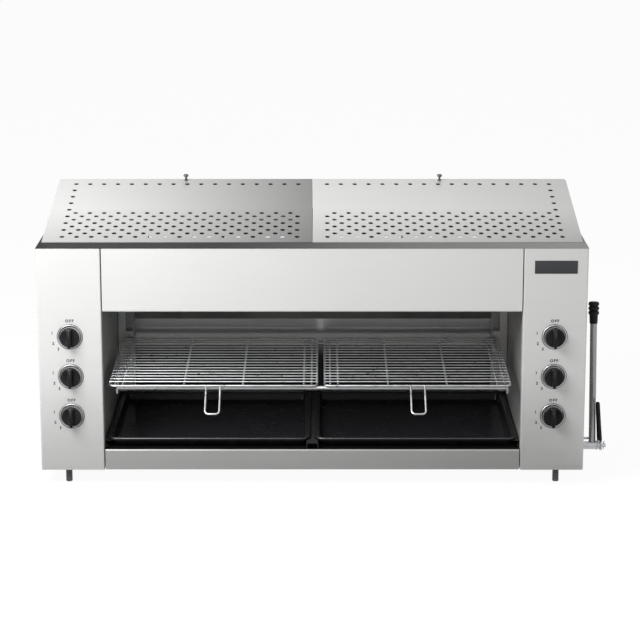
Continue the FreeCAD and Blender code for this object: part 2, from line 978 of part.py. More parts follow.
def cross_shaft():
    """The shaft through both walls, with a thinner journal at its right-hand end."""
    start = vector(-lift_arm_x - lift_arm_thickness - shaft_left_overhang, shaft_y, shaft_z)
    shoulder = vector(journal_start, shaft_y, shaft_z)
    shaft = rod(start, shoulder, shaft_radius)
    shaft = shaft.fuse(rod(shoulder, vector(journal_end, shaft_y, shaft_z), journal_radius))
    pin_x = journal_end - split_pin_inset
    low = vector(pin_x, shaft_y, shaft_z - 2 * journal_radius)
    return shaft.cut(rod(low, low + Z_AXIS * (4 * journal_radius), split_pin_radius + split_pin_clearance))


def lift_arm(side):
    """A flat arm on the cross shaft, wide at its hub, with a pin that lifts the carriage's plate."""
    taper = math.asin((lift_hub_radius - lift_eye_radius) / lift_arm_length)
    near_y = shaft_y + lift_hub_radius * math.sin(taper)
    far_y = shaft_y + lift_arm_length + lift_eye_radius * math.sin(taper)
    near_z = lift_hub_radius * math.cos(taper)
    far_z = lift_eye_radius * math.cos(taper)
    place = side_view(lift_arm_x)
    edges = [
        Part.LineSegment(place(near_y, shaft_z - near_z), place(far_y, shaft_z - far_z)),
        Part.Arc(
            place(far_y, shaft_z - far_z),
            place(shaft_y + lift_arm_length + lift_eye_radius, shaft_z),
            place(far_y, shaft_z + far_z),
        ),
        Part.LineSegment(place(far_y, shaft_z + far_z), place(near_y, shaft_z + near_z)),
        Part.Arc(
            place(near_y, shaft_z + near_z),
            place(shaft_y - lift_hub_radius, shaft_z),
            place(near_y, shaft_z - near_z),
        ),
    ]
    centre = vector(lift_arm_x, shaft_y, shaft_z)
    hole = Part.Wire([Part.Circle(centre, X_AXIS, shaft_radius).toShape()])
    outline = Part.Wire([edge.toShape() for edge in edges])
    arm = Part.Face([outline, hole]).extrude(X_AXIS * lift_arm_thickness)
    start = vector(lift_plate_x - lift_side_gap, shaft_y + lift_arm_length, shaft_z)
    arm = arm.fuse(rod(start, vector(lift_arm_x, start.y, start.z), lift_pin_radius))
    arm.rotate(centre, X_AXIS, lift_arm_rest_angle)
    return on_side(arm, side)


def lift_arms():
    return Part.makeCompound([lift_arm(LEFT), lift_arm(RIGHT)])


def lift_plate(side):
    """A plate on the carriage's guide pins that reaches down to the arm. Its slot lets the arm's pin travel."""
    slot_half = lift_pin_radius + lift_slot_clearance
    slot_z = lift_pin_z + lift_lag
    slot_near = lift_pin_near_y - slot_half
    slot_far = lift_pin_far_y + slot_half
    edge = guide_pin_radius + lift_plate_margin
    points = [
        (slot_near - lift_plate_margin, slot_z - slot_half - lift_plate_margin),
        (slot_far + lift_plate_margin, slot_z - slot_half - lift_plate_margin),
        (guide_y + edge, guide_pin_low - edge),
        (guide_y + edge, guide_pin_high + edge),
        (guide_y - edge, guide_pin_high + edge),
        (slot_near - lift_plate_margin, slot_z + slot_half + 2 * lift_plate_margin),
    ]
    low = slot_z - slot_half
    high = slot_z + slot_half
    place = side_view(lift_plate_x)
    corners = [(slot_near, low), (slot_far, low), (slot_far, high), (slot_near, high)]
    slot = sharp_wire(corners, place)
    plate = Part.Face([sharp_wire(points, place), slot]).extrude(X_AXIS * lift_plate_thickness)
    return on_side(plate, side)


def lift_plates():
    return Part.makeCompound([lift_plate(LEFT), lift_plate(RIGHT)])


def carriage_side(side):
    """One sloped arm, the guide block in its channel and the block's two pins."""
    block_front = channel_front + sheet + slide_clearance
    slope = math.cos(math.radians(rack_tilt))
    arm_front = rack_front + carriage_bar_inset - carriage_bar_radius
    arm_rear = rack_front + (block_front - rack_front + sheet) / slope
    arm = tilted(block(
        arm_inner, arm_inner + arm_thickness, arm_front, arm_rear, carriage_top - arm_height, carriage_top
    ))
    guide = block(
        channel_inner + sheet + slide_clearance, wall_face - sheet - slide_clearance,
        block_front, liner_face - sheet - slide_clearance,
        guide_z - guide_height / 2, guide_z + guide_height / 2,
    )
    parts = [guide]
    for z in (guide_pin_low, guide_pin_high):
        start = vector(wall_face - channel_width / 2, guide_y, z)
        parts.append(rod(start, vector(lift_plate_x, guide_y, z), guide_pin_radius))
    return on_side(arm.fuse(parts), side)


def rack_carriage():
    """The frame that both racks lie on: two bars, two arms and the guide blocks."""
    bar_y = rack_front + carriage_bar_inset
    bar_z = carriage_top - carriage_bar_radius
    reach = arm_inner + arm_thickness / 2
    front_bar = tilted(rod(vector(-reach, bar_y, bar_z), vector(reach, bar_y, bar_z), carriage_bar_radius))
    rear_y = rack_rear - carriage_rear_bar_inset
    rear_z = carriage_top - carriage_rear_bar_radius
    rear_bar = tilted(rod(vector(-reach, rear_y, rear_z), vector(reach, rear_y, rear_z), carriage_rear_bar_radius))
    return front_bar.fuse([rear_bar, carriage_side(LEFT), carriage_side(RIGHT)])


def rack_sides(side):
    if side == LEFT:
        right_edge = rack_joint_x - rack_joint_gap / 2
        return left_rack_side_gap - wall_face, right_edge
    left_edge = rack_joint_x + rack_joint_gap / 2
    return left_edge, wall_face - right_rack_side_gap


def rack_frame(x0, x1):
    """The rack's outer wire, straight on four sides with a quarter bend at each corner."""
    x2 = x0 + rack_corner
    x3 = x1 - rack_corner
    y2 = rack_front + rack_corner
    y3 = rack_rear - rack_corner
    points = []
    for index, (x, y) in enumerate(((x3, y3), (x2, y3), (x2, y2), (x3, y2))):
        points.extend(bend_points(x, y, rack_base, rack_corner, index * RIGHT_ANGLE))
    return wire_along(points, frame_wire_radius, closed=True)


def wire_rack(side):
    """A frame of thick wire, a grid of thin wires across it and a few wires under the grid."""
    x0, x1 = rack_sides(side)
    x0 += frame_wire_radius
    x1 -= frame_wire_radius
    wires = [rack_frame(x0, x1)]
    grid_z = rack_base + frame_wire_radius + grid_wire_radius
    pitch = (rack_rear - rack_front - 2 * rack_end_space) / (grid_wire_count - 1)
    for index in range(grid_wire_count):
        y = rack_front + rack_end_space + index * pitch
        wires.append(wire_bar(vector(x0, y, grid_z), vector(x1, y, grid_z), grid_wire_radius))
    cross_z = grid_z - grid_wire_radius - cross_wire_radius
    middle = (x0 + x1) / 2
    places = []
    for hand in (LEFT, RIGHT):
        edge = (x1 - x0) / 2 - cross_wire_edge_inset
        places.extend([hand * cross_wire_spread, hand * edge, hand * (edge - cross_wire_edge_step)])
    for place in places:
        front = vector(middle + place, rack_front + frame_wire_radius, cross_z)
        rear = vector(middle + place, rack_rear - frame_wire_radius, cross_z)
        wires.append(wire_bar(front, rear, cross_wire_radius))
    return tilted(Part.makeCompound(wires))


def rack_handle(side):
    """A U of wire that slopes forward and down from the rack's front."""
    x0, x1 = rack_sides(side)
    middle = (x0 + x1) / 2
    half = handle_width / 2
    start_y = rack_front - frame_wire_radius
    tip_y = start_y - handle_length
    bend_y = tip_y + handle_corner
    bend_x = half - handle_corner
    points = [vector(middle - half, rack_front, rack_base)]
    for index, x in enumerate((middle - bend_x, middle + bend_x)):
        points.extend(bend_points(x, bend_y, rack_base, handle_corner, (index + 2) * RIGHT_ANGLE))
    points.append(vector(middle + half, rack_front, rack_base))
    handle = wire_along(points, handle_wire_radius)
    handle.rotate(vector(0, start_y, rack_base), X_AXIS, handle_drop)
    reach = handle_width
    behind = block(
        middle - reach, middle + reach, start_y, start_y + reach, rack_base - reach, rack_base + reach
    )
    return handle.cut(tilted(behind))


def drip_tray(side):
    """A shallow drawn tray whose flat rim is turned down at its edge."""
    x0 = tray_inner
    x1 = tray_outer

    def ring(inset, corner, z):
        return rounded_plate(x0 + inset, x1 - inset, tray_front + inset, tray_rear - inset, corner, plan(z))

    skirt = prism(ring(0, tray_corner, tray_rim - tray_lip), Z_AXIS * tray_lip)
    under = ring(tray_sheet, tray_corner - tray_sheet, tray_rim - tray_lip)
    under = prism(under, Z_AXIS * (tray_lip - tray_sheet))
    floor = tray_rim - tray_depth
    foot_inset = tray_rim_width + tray_slope
    outside = Part.makeLoft(
        [ring(tray_rim_width, tray_pan_corner, tray_rim - tray_sheet), ring(foot_inset, tray_pan_corner, floor)],
        True, True,
    )
    inside = Part.makeLoft(
        [
            ring(tray_rim_width + tray_sheet, tray_pan_corner - tray_sheet, tray_rim),
            ring(foot_inset + tray_sheet, tray_pan_corner - tray_sheet, floor + tray_sheet),
        ],
        True, True,
    )
    return on_side(skirt.cut(under).fuse(outside).cut(inside), side)


def lever_tube():
    """The lever's tube, shaped at its foot to sit on the shaft."""
    start = vector(lever_x, shaft_y, shaft_z)
    end = start + Z_AXIS * lever_tube_length
    body = tube(start, end, lever_radius, lever_radius - lever_wall)
    saddle = rod(start - X_AXIS * (2 * lever_radius), start + X_AXIS * (2 * lever_radius), shaft_radius)
    return leaned(body.cut(saddle), lever_lean)


def lever_grip():
    """A black grip with three lobes at its head and a sleeve that tapers down the tube."""
    foot_z = lever_length - grip_length
    neck_z = lever_length - grip_lobes * grip_lobe_pitch
    outline = [(grip_tail_radius, foot_z), (grip_neck_radius, neck_z)]
    for lobe in range(grip_lobes):
        low = neck_z + lobe * grip_lobe_pitch
        outline.append((grip_head_radius, low + grip_lobe_pitch / 2))
        outline.append((grip_neck_radius, low + grip_lobe_pitch))
    grip = turned(outline, large_round_sides)
    grip = grip.cut(rod(ORIGIN, Z_AXIS * lever_tube_length, lever_radius))
    grip.translate(vector(lever_x, shaft_y, shaft_z))
    return leaned(grip, lever_lean)


def shaft_fasteners():
    """The washer, nut and split pin on the journal."""
    centre = vector(journal_start, shaft_y, shaft_z)
    hole_corner = (journal_radius + running_clearance) / math.cos(math.pi / large_round_sides)
    outline = [
        (hole_corner, 0),
        (washer_radius, 0),
        (washer_radius, washer_thickness),
        (hole_corner, washer_thickness),
    ]
    washer = facing(turned(outline, large_round_sides, closed=True), centre, X_AXIS)
    nut = hexagon(vector(nut_start_x, shaft_y, shaft_z), X_AXIS, nut_radius, nut_thickness)
    nut = nut.cut(rod(centre, vector(journal_end, shaft_y, shaft_z), journal_radius))
    middle = vector(journal_end - split_pin_inset, shaft_y, shaft_z)
    pin = wire_bar(middle - Z_AXIS * split_pin_half, middle + Z_AXIS * split_pin_half, split_pin_radius)
    top = middle + Z_AXIS * split_pin_half
    pin = pin.fuse(wire_bar(top, top + Z_AXIS * split_pin_head_length, split_pin_head))
    return Part.makeCompound([washer, nut, pin])


def catch_lever():
    """The short sleeved lever that turns on the journal beside the long one."""
    start = vector(catch_start_x, shaft_y, shaft_z)
    end = start + X_AXIS * catch_hub_length
    hub = rod(start, end, shaft_radius)
    tab = block(
        catch_start_x, end.x, shaft_y - catch_tab_width / 2, shaft_y + catch_tab_width / 2,
        shaft_z, shaft_z + catch_tab_length,
    )
    root = vector((start.x + end.x) / 2 + catch_offset, shaft_y, shaft_z + catch_start)
    tilt = math.radians(catch_tilt)
    reach = vector(-math.sin(tilt), 0, math.cos(tilt))
    blunt = catch_tip_radius / 2
    outline = [(catch_root_radius, 0), (catch_tip_radius, catch_length), (blunt, catch_length + blunt)]
    sleeve = facing(turned(outline, small_round_sides), root, reach)
    lever = hub.fuse([tab, sleeve]).cut(rod(start, end, journal_radius + running_clearance))
    return leaned(lever, catch_lean)


def canopy_place(shape):
    """Turns a flat drawing of the canopy's sheet to its slope."""
    moved = shape.copy()
    moved.rotate(ORIGIN, X_AXIS, math.degrees(canopy_angle))
    moved.translate(vector(0, canopy_front, body_top))
    return moved


def hole_rows():
    return int((canopy_slope - hole_front_margin - hole_edge_margin / 2) / hole_row_pitch) + 1


def canopy_holes(x0, x1):
    """Centres of the staggered holes. The upper middle field stays plain, as a baffle closes it from below."""
    rows = hole_rows()
    centres = []
    for row in range(rows):
        along = hole_front_margin + row * hole_row_pitch
        shift = hole_pitch / 2 if row % 2 else 0
        count = int((x1 - x0 - 2 * hole_edge_margin - shift) / hole_pitch) + 1
        for index in range(count):
            x = x0 + hole_edge_margin + shift + index * hole_pitch
            near_side = index >= count - open_side_holes and row % 2 == 0
            if row < open_front_rows or row == rows - 1 or near_side:
                centres.append((x, along))
    return centres


def canopy_grille(side):
    """The sloped sheet with staggered holes and two round rear corners."""
    x0 = seam_gap
    x1 = canopy_half
    outline = rounded_wire(
        [(x0, 0), (x1, 0), (x1, canopy_slope), (x0, canopy_slope)], [0, 0, canopy_corner, 0], plan(0)
    )
    holes = []
    for x, along in canopy_holes(x0, x1):
        hole = polygon_face(hole_radius, 6, 0).OuterWire
        hole.translate(vector(x, along, 0))
        holes.append(hole)
    grille = Part.Face([outline] + holes).extrude(Z_AXIS * liner_sheet)
    return on_side(canopy_place(grille), side)


def canopy_frame(side):
    """The rear wall and two cheeks that carry the grille."""
    x0 = seam_gap
    x1 = canopy_half - canopy_corner / 3
    front = canopy_front + canopy_cheek_setback
    rise = math.tan(canopy_angle)
    points = [
        (front, body_top),
        (canopy_rear, body_top),
        (canopy_rear, body_top + (canopy_rear - canopy_front) * rise),
        (front, body_top + (front - canopy_front) * rise),
    ]
    inner = prism(sharp_wire(points, side_view(x0)), X_AXIS * liner_sheet)
    outer = prism(sharp_wire(points, side_view(x1 - liner_sheet)), X_AXIS * liner_sheet)
    wall_front = canopy_rear - liner_sheet
    points = [
        (wall_front, body_top),
        (canopy_rear, body_top),
        (canopy_rear, body_top + (canopy_rear - canopy_front) * rise),
        (wall_front, body_top + (wall_front - canopy_front) * rise),
    ]
    rear = prism(sharp_wire(points, side_view(x0)), X_AXIS * (x1 - x0))
    return on_side(rear.fuse([inner, outer]), side)


def canopy_stud(side):
    """A headed stud at the middle of the canopy's top edge, to lift it by."""
    x = (seam_gap + canopy_half) / 2
    foot_point = vector(x, canopy_slope - stud_inset, liner_sheet)
    outline = [
        (stud_radius, 0), (stud_radius, stud_height),
        (stud_head_radius, stud_height), (stud_head_radius, stud_height + stud_head_height),
    ]
    stud = turned(outline, small_round_sides)
    stud.translate(foot_point)
    return on_side(canopy_place(stud), side)


def exhaust_baffles():
    """A sloped plate under the upper half of each canopy, on a leg that stands on the deck."""
    front = canopy_front + baffle_front_inset
    leg = canopy_rear - baffle_leg_gap
    rise = math.tan(canopy_angle)
    path = [
        (leg, body_top),
        (leg, body_top + (leg - canopy_front) * rise - baffle_drop),
        (front, body_top + (front - canopy_front) * rise - baffle_drop),
    ]
    x0 = baffle_side_margin
    x1 = canopy_half - baffle_side_margin
    baffle = folded_sheet(path, liner_sheet, side_view(x0), X_AXIS * (x1 - x0))
    return Part.makeCompound([mirrored(baffle), baffle])


def all_parts():
    parts = {
        "left_column_casing": column_casing(LEFT),
        "right_column_casing": column_casing(RIGHT),
        "front_fascia": front_fascia(),
        "bottom_apron": bottom_apron(),
        "top_deck": top_deck(),
        "base_pan": base_pan(),
        "back_panel": back_panel(),
        "left_inner_wall": inner_wall(LEFT),
        "right_inner_wall": inner_wall(RIGHT),
        "back_liner": back_liner(),
        "burner_carrier": burner_carrier(),
        "burner_housings": burner_housings(),
        "burner_plaques": burner_plaques(),
        "guide_channels": guide_channels(),
        "tray_runners": tray_runners(),
        "gas_manifold": gas_manifold(),
        "gas_inlet": gas_inlet(),
        "gas_valves": gas_valves(),
        "knob_bezels": knob_bezels(),
        "badge_plate": badge_plate(),
        "foot_nuts": foot_nuts(),
        "shaft_bushes": shaft_bushes(),
        "lever_stop": lever_stop(),
        "exhaust_baffles": exhaust_baffles(),
        "cross_shaft": cross_shaft(),
        "lift_arms": lift_arms(),
        "lever_tube": lever_tube(),
        "lever_grip": lever_grip(),
        "shaft_fasteners": shaft_fasteners(),
        "catch_lever": catch_lever(),
        "rack_carriage": rack_carriage(),
        "lift_plates": lift_plates(),
    }
    for place in foot_places():
        parts[place + "_foot"] = foot(place)
    for side, name in ((LEFT, "left"), (RIGHT, "right")):
        parts[name + "_rack"] = wire_rack(side)
        parts[name + "_rack_handle"] = rack_handle(side)
        parts[name + "_drip_tray"] = drip_tray(side)
        parts[name + "_canopy_grille"] = canopy_grille(side)
        parts[name + "_canopy_frame"] = canopy_frame(side)
        parts[name + "_canopy_stud"] = canopy_stud(side)
        for row, level in enumerate(knob_levels(), start=1):
            parts[name + "_spindle_" + str(row)] = spindle(side, level)
            parts[name + "_knob_" + str(row)] = knob(side, level)
    return parts


def save_parts():
    """Writes each sub-part with the middle of the whole as the origin in plan."""
    os.makedirs("parts", exist_ok=True)
    for name, shape in all_parts().items():
        placed = shape.copy()
        placed.translate(vector(-origin_x, -origin_y, 0))
        placed.exportStep("parts/" + name + ".step")


save_parts()
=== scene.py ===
import json
import math

import bmesh
import bpy
from mathutils import Matrix, Vector


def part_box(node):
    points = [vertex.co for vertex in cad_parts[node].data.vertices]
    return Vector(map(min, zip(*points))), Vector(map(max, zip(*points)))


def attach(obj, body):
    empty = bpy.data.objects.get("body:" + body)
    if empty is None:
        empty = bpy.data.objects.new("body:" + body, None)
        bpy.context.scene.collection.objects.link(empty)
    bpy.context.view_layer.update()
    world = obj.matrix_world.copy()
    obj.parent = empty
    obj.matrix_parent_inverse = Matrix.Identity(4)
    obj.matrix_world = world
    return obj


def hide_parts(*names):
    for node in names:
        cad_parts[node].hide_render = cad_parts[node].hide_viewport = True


bl_info = {
    "name": "Salamander Grill",
    "version": (1, 0, 0),
    "blender": (4, 5, 0),
    "location": "View3D > Sidebar > Grill",
    "description": "Builds the looks of an open gas grill with a rack lift around its packed frame",
    "category": "Object",
}

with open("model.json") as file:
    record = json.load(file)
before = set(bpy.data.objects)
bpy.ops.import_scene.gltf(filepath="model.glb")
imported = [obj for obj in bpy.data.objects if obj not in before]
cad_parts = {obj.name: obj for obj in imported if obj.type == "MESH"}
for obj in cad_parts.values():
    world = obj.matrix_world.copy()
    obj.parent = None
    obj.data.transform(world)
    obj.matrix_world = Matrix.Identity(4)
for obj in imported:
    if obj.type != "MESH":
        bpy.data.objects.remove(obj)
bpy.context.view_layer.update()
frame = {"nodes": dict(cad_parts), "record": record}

MM = 0.001
QUARTER = math.pi / 2
SIDES = ("left", "right")
ROWS = ("1", "2", "3")
FORWARD = (0, -1, 0)
UPWARD = (0, 0, 1)
TO_RIGHT = (1, 0, 0)
CASING_BRUSH = (5, 5, 620)
SLOPE_BRUSH = (4, 520, 520)
TRAY_SHEET = 1.0 * MM
CANOPY_SHEET = 1.2 * MM
DECK_LOW, DECK_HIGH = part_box("top_deck")
MIDDLE_X = (DECK_LOW[0] + DECK_HIGH[0]) / 2
FRONT_Y = DECK_LOW[1]


# Settings

def millimetres(name, description, default):
    return bpy.props.FloatProperty(
        name=name, description=description, default=default * MM, unit="LENGTH")


def degrees(name, description, default):
    return bpy.props.FloatProperty(
        name=name, description=description, default=math.radians(default), subtype="ANGLE")


def whole_number(name, description, default, least):
    return bpy.props.IntProperty(name=name, description=description, default=default, min=least)


def swatch(name, description, default):
    return bpy.props.FloatVectorProperty(
        name=name, description=description, default=default, subtype="COLOR", size=3, min=0, max=1)


class GrillSizes(bpy.types.PropertyGroup):
    wire_segments: whole_number("Wire segments", "Faces round one rack wire", 12, 6)
    frame_wire: millimetres("Frame wire radius", "Radius of the rack's outer wire", 2.5)
    grid_wire: millimetres("Grid wire radius", "Radius of the rack's thin wires", 1.5)
    cross_wire: millimetres("Cross wire radius", "Radius of the wires under the grid", 2.0)
    rack_corner: millimetres("Rack corner", "Bend radius of the rack's outer wire", 12)
    rack_end_space: millimetres("Rack end space", "From the outer wire to the first grid wire", 17)
    grid_wires: whole_number("Grid wires", "Thin wires on one rack", 17, 3)
    rack_tilt: degrees("Rack tilt", "Slope of the racks, low at the front", 2.4)
    handle_wire: millimetres("Handle wire radius", "Radius of the rack handle's wire", 2.2)
    handle_width: millimetres("Handle width", "Distance between the handle's legs", 31)
    handle_drop: degrees("Handle drop", "Slope of the handles", 36)
    handle_corner: millimetres("Handle corner", "Bend radius of the handle", 9)
    hole_radius: millimetres("Hole radius", "Radius of the canopy's holes", 5.5)
    hole_pitch: millimetres("Hole pitch", "Distance between holes in a row", 32.4)
    hole_row_pitch: millimetres("Row pitch", "Distance between rows of holes", 18.4)
    hole_front_margin: millimetres("Front margin", "From the sheet's front edge to the first row", 28)
    hole_side_margin: millimetres("Side margin", "From the sheet's side edge to the first hole", 33)
    hole_rows: whole_number("Rows", "Rows of the pattern over the whole slope", 17, 9)
    open_rows: whole_number("Pierced rows", "Rows at the front that are pierced all along", 8, 1)
    tray_rim: millimetres("Tray rim", "Width of the tray's flat rim", 11)
    lever_radius: millimetres("Lever radius", "Radius of the lever's tube", 7.75)
    lever_length: millimetres("Lever length", "From the shaft to the end of the grip", 326)
    lever_lean: degrees("Lever lean", "Angle of the lever from upright", 6.5)
    grip_length: millimetres("Grip length", "Length of the lever's grip", 49)
    camera_distance: millimetres("Camera distance", "From the front panels to the camera", 4280)
    camera_height: millimetres("Camera height", "Camera above the floor", 1513)
    camera_pitch: degrees("Camera pitch", "How far the camera looks down", 12)
    camera_shift: bpy.props.FloatProperty(
        name="Camera shift", description="Vertical shift of the picture", default=-0.157)
    camera_lens: bpy.props.FloatProperty(
        name="Camera lens", description="Focal length", default=114.0, subtype="DISTANCE_CAMERA")


class GrillColours(bpy.types.PropertyGroup):
    casing: swatch("Casing", "Brushed stainless steel of the body", (0.48, 0.48, 0.473))
    canopy: swatch("Canopy", "Stainless steel of the perforated canopies", (0.52, 0.52, 0.513))
    deck: swatch("Deck", "Steel of the deck and the canopies' frames", (0.26, 0.26, 0.255))
    cavity: swatch("Cavity", "Steel of the inner walls, darkened by heat", (0.4, 0.4, 0.395))
    liner: swatch("Liner", "Polished steel behind the racks", (0.75, 0.755, 0.755))
    dark_sheet: swatch("Dark sheet", "Coated sheet of the inner parts", (0.014, 0.014, 0.0135))
    ceramic: swatch("Ceramic", "Burner plaques", (0.72, 0.66, 0.56))
    zinc: swatch("Zinc", "Plated gas pipes and lever tube", (0.27, 0.275, 0.28))
    brass: swatch("Brass", "Gas fittings and bushes", (0.62, 0.45, 0.19))
    chrome: swatch("Chrome", "Bright plated wire and fittings", (0.47, 0.475, 0.485))
    plastic: swatch("Plastic", "Knobs and grips", (0.006, 0.006, 0.0065))
    enamel: swatch("Enamel", "Drip trays", (0.006, 0.006, 0.007))
    badge: swatch("Badge", "Bare plate on the right-hand column", (0.045, 0.047, 0.05))
    foot: swatch("Foot", "Levelling feet", (0.1, 0.1, 0.1))
    print: swatch("Print", "Words and numbers round the knobs", (0.02, 0.02, 0.02))


# Materials

def node(tree, kind, **values):
    made = tree.nodes.new(kind)
    for name, value in values.items():
        setattr(made, name, value)
    return made


def link(source, target):
    source.id_data.links.new(source, target)


def start_material(name, colour, metallic, roughness):
    material = bpy.data.materials.new(name)
    material.use_nodes = True
    tree = material.node_tree
    shader = tree.nodes["Principled BSDF"]
    shader.inputs["Base Color"].default_value = (*colour, 1)
    shader.inputs["Metallic"].default_value = metallic
    shader.inputs["Roughness"].default_value = roughness
    material.diffuse_color = (*colour, 1)
    return material, tree, shader


def noise(tree, stretch, detail):
    """Noise on object coordinates. It's stretched along the axes that have a small number."""
    place = node(tree, "ShaderNodeTexCoord")
    mapping = node(tree, "ShaderNodeMapping")
    mapping.inputs["Scale"].default_value = stretch
    texture = node(tree, "ShaderNodeTexNoise")
    texture.inputs["Scale"].default_value = 1.0
    texture.inputs["Detail"].default_value = detail
    link(place.outputs["Object"], mapping.inputs["Vector"])
    link(mapping.outputs["Vector"], texture.inputs["Vector"])
    return texture.outputs["Fac"]


def even_noise(tree, scale, detail):
    return noise(tree, (scale, scale, scale), detail)


def ranged(value, from_low, from_high, to_low=0, to_high=1):
    """The value moved from one range to another and kept inside it."""
    step = node(value.id_data, "ShaderNodeMapRange")
    numbers = {"From Min": from_low, "From Max": from_high, "To Min": to_low, "To Max": to_high}
    for name, number in numbers.items():
        step.inputs[name].default_value = number
    link(value, step.inputs["Value"])
    return step.outputs["Result"]


def spread(value, low=0, high=1):
    """The noise value brought to the range from low to high."""
    return ranged(value, 0.3, 0.7, low, high)


def along(tree, axis, start, end):
    """A value that rises from zero to one between two places on an axis."""
    place = node(tree, "ShaderNodeTexCoord")
    parts = node(tree, "ShaderNodeSeparateXYZ")
    link(place.outputs["Object"], parts.inputs["Vector"])
    return ranged(parts.outputs[axis], start, end)


def calculate(operation, first, second):
    """A sum, product or other step on a socket and a second socket or a number."""
    step = node(first.id_data, "ShaderNodeMath", operation=operation)
    for socket, value in zip(step.inputs, (first, second)):
        if isinstance(value, bpy.types.NodeSocket):
            link(value, socket)
        else:
            socket.default_value = value
    return step.outputs["Value"]


def tint(shader, value, dark, light):
    """Base colour that goes from dark to light with the value."""
    mix = node(shader.id_data, "ShaderNodeMix", data_type="RGBA")
    mix.inputs[6].default_value = (*dark, 1)
    mix.inputs[7].default_value = (*light, 1)
    link(value, mix.inputs["Factor"])
    link(mix.outputs[2], shader.inputs["Base Color"])


def gloss(shader, value, low, high):
    """Roughness that goes from low to high with the noise value."""
    link(spread(value, low, high), shader.inputs["Roughness"])


def bump(shader, value, strength, distance):
    relief = node(shader.id_data, "ShaderNodeBump")
    relief.inputs["Strength"].default_value = strength
    relief.inputs["Distance"].default_value = distance
    link(value, relief.inputs["Height"])
    link(relief.outputs["Normal"], shader.inputs["Normal"])


def shade(material, value, least):
    """Multiplies the base colour, which falls to the least share where the value is one."""
    tree = material.node_tree
    colour = tree.nodes["Principled BSDF"].inputs["Base Color"]
    scale = node(tree, "ShaderNodeVectorMath", operation="SCALE")
    link(colour.links[0].from_socket, scale.inputs["Vector"])
    link(ranged(value, 0, 1, 1, least), scale.inputs["Scale"])
    link(scale.outputs["Vector"], colour)


def fade(material, axis, start, end, least):
    """Darkens a material between two places on an axis, to the least share at the end."""
    shade(material, along(material.node_tree, axis, start, end), least)
    return material


def scaled(colour, factor):
    return tuple(min(part * factor, 1) for part in colour)


def brushed_steel(name, colour, stretch, metallic, roughness, contrast=0.035):
    """Steel with fine brush lines and slow, faint changes of tone."""
    material, tree, shader = start_material(name, colour, metallic, roughness)
    lines = noise(tree, stretch, 4)
    clouds = even_noise(tree, 2.2, 1)
    total = calculate("ADD", calculate("MULTIPLY", clouds, 0.45), calculate("MULTIPLY", lines, 0.55))
    tint(shader, spread(total), scaled(colour, 1 - contrast), scaled(colour, 1 + contrast))
    gloss(shader, lines, roughness * 0.85, roughness * 1.2)
    bump(shader, lines, 0.03, 0.0002)
    return material


def canopy_steel(name, colour):
    """Brushed sheet with painted shade: the left canopy darker from its left end to the seam, the right one a
    little darker towards its right end, and both darker towards the front.
    """
    material = brushed_steel(name, colour, SLOPE_BRUSH, 0.6, 0.36, 0.06)
    tree = material.node_tree
    low = box_of("left_canopy_grille")[0]
    right_end = box_of("right_canopy_grille")[1].x
    # painted shade across each sheet, strongest on the left canopy at the seam
    on_left = along(tree, "X", low.x, MIDDLE_X)
    on_left = calculate("MULTIPLY", on_left, calculate("LESS_THAN", on_left, 1))
    on_right = calculate("MULTIPLY", along(tree, "X", MIDDLE_X, right_end), 0.22)
    shade(material, calculate("ADD", calculate("POWER", on_left, 1.3), on_right), 0.36)
    # painted shade, darker towards the front rows
    return fade(material, "Y", low.y + 180 * MM, low.y, 0.68)


def casing_steel(name, colour):
    """Brushed front steel with painted shade, darker towards its foot."""
    low = box_of("bottom_apron")[0].z
    # painted shade, darker towards the foot of the casing
    return fade(brushed_steel(name, colour, CASING_BRUSH, 0.5, 0.36), "Z", low + 230 * MM, low, 0.8)


def apron_steel(name, colour):
    """The casing's steel, darker all over as painted shade, and painted black as shade behind the fold at the
    mouth of the cavity.
    """
    fold = box_of("bottom_apron")[0].y
    # painted shade: the whole apron darker, and black behind the fold
    return fade(casing_steel(name, scaled(colour, 0.72)), "Y", fold + 1.5 * MM, fold + 3 * MM, 0.02)


def shaft_plate(name, colour):
    """The shaft's plating, bright at its outer end and painted black as shade inside the body."""
    end = box_of("cross_shaft")[1].x
    # painted shade, black inside the body
    return fade(plated_metal(name, colour, 0.34, 90), "X", end - 60 * MM, end - 90 * MM, 0.03)


def deck_steel(name, colour):
    """Steel round the flue, with painted shade that darkens it from the right-hand end towards the left."""
    steel = brushed_steel(name, colour, SLOPE_BRUSH, 0.9, 0.5)
    # painted shade, darker from the right-hand end towards the left
    return fade(steel, "X", DECK_HIGH[0], MIDDLE_X - 200 * MM, 0.1)


def mirror_liner(name, colour):
    """Polished sheet behind the burners, with painted shade below the racks."""
    low, high = box_of("back_liner")
    steel = brushed_steel(name, colour, CASING_BRUSH, 0.85, 0.2, 0.08)
    # painted shade, near black below the racks
    return fade(steel, "Z", high.z - 110 * MM, low.z + 150 * MM, 0.05)


def heat_darkened_steel(name, colour):
    """Inner steel with brown and blue stains from heat."""
    material, tree, shader = start_material(name, colour, 0.7, 0.38)
    cool = Vector(colour) * Vector((0.76, 0.8, 0.84))
    warm = Vector(colour) * Vector((1.2, 1.15, 1.08))
    tint(shader, spread(noise(tree, (5, 5, 9), 4)), cool, warm)
    lines = noise(tree, (6, 6, 320), 2)
    gloss(shader, lines, 0.28, 0.5)
    bump(shader, lines, 0.08, 0.0002)
    return material


def coated_sheet(name, colour):
    """Matt dark coating with a grain."""
    material, tree, shader = start_material(name, colour, 0.3, 0.55)
    grain = even_noise(tree, 260, 3)
    clouds = spread(even_noise(tree, 7, 3))
    tint(shader, clouds, scaled(colour, 0.7), scaled(colour, 1.5))
    gloss(shader, grain, 0.45, 0.65)
    bump(shader, grain, 0.15, 0.0003)
    return material


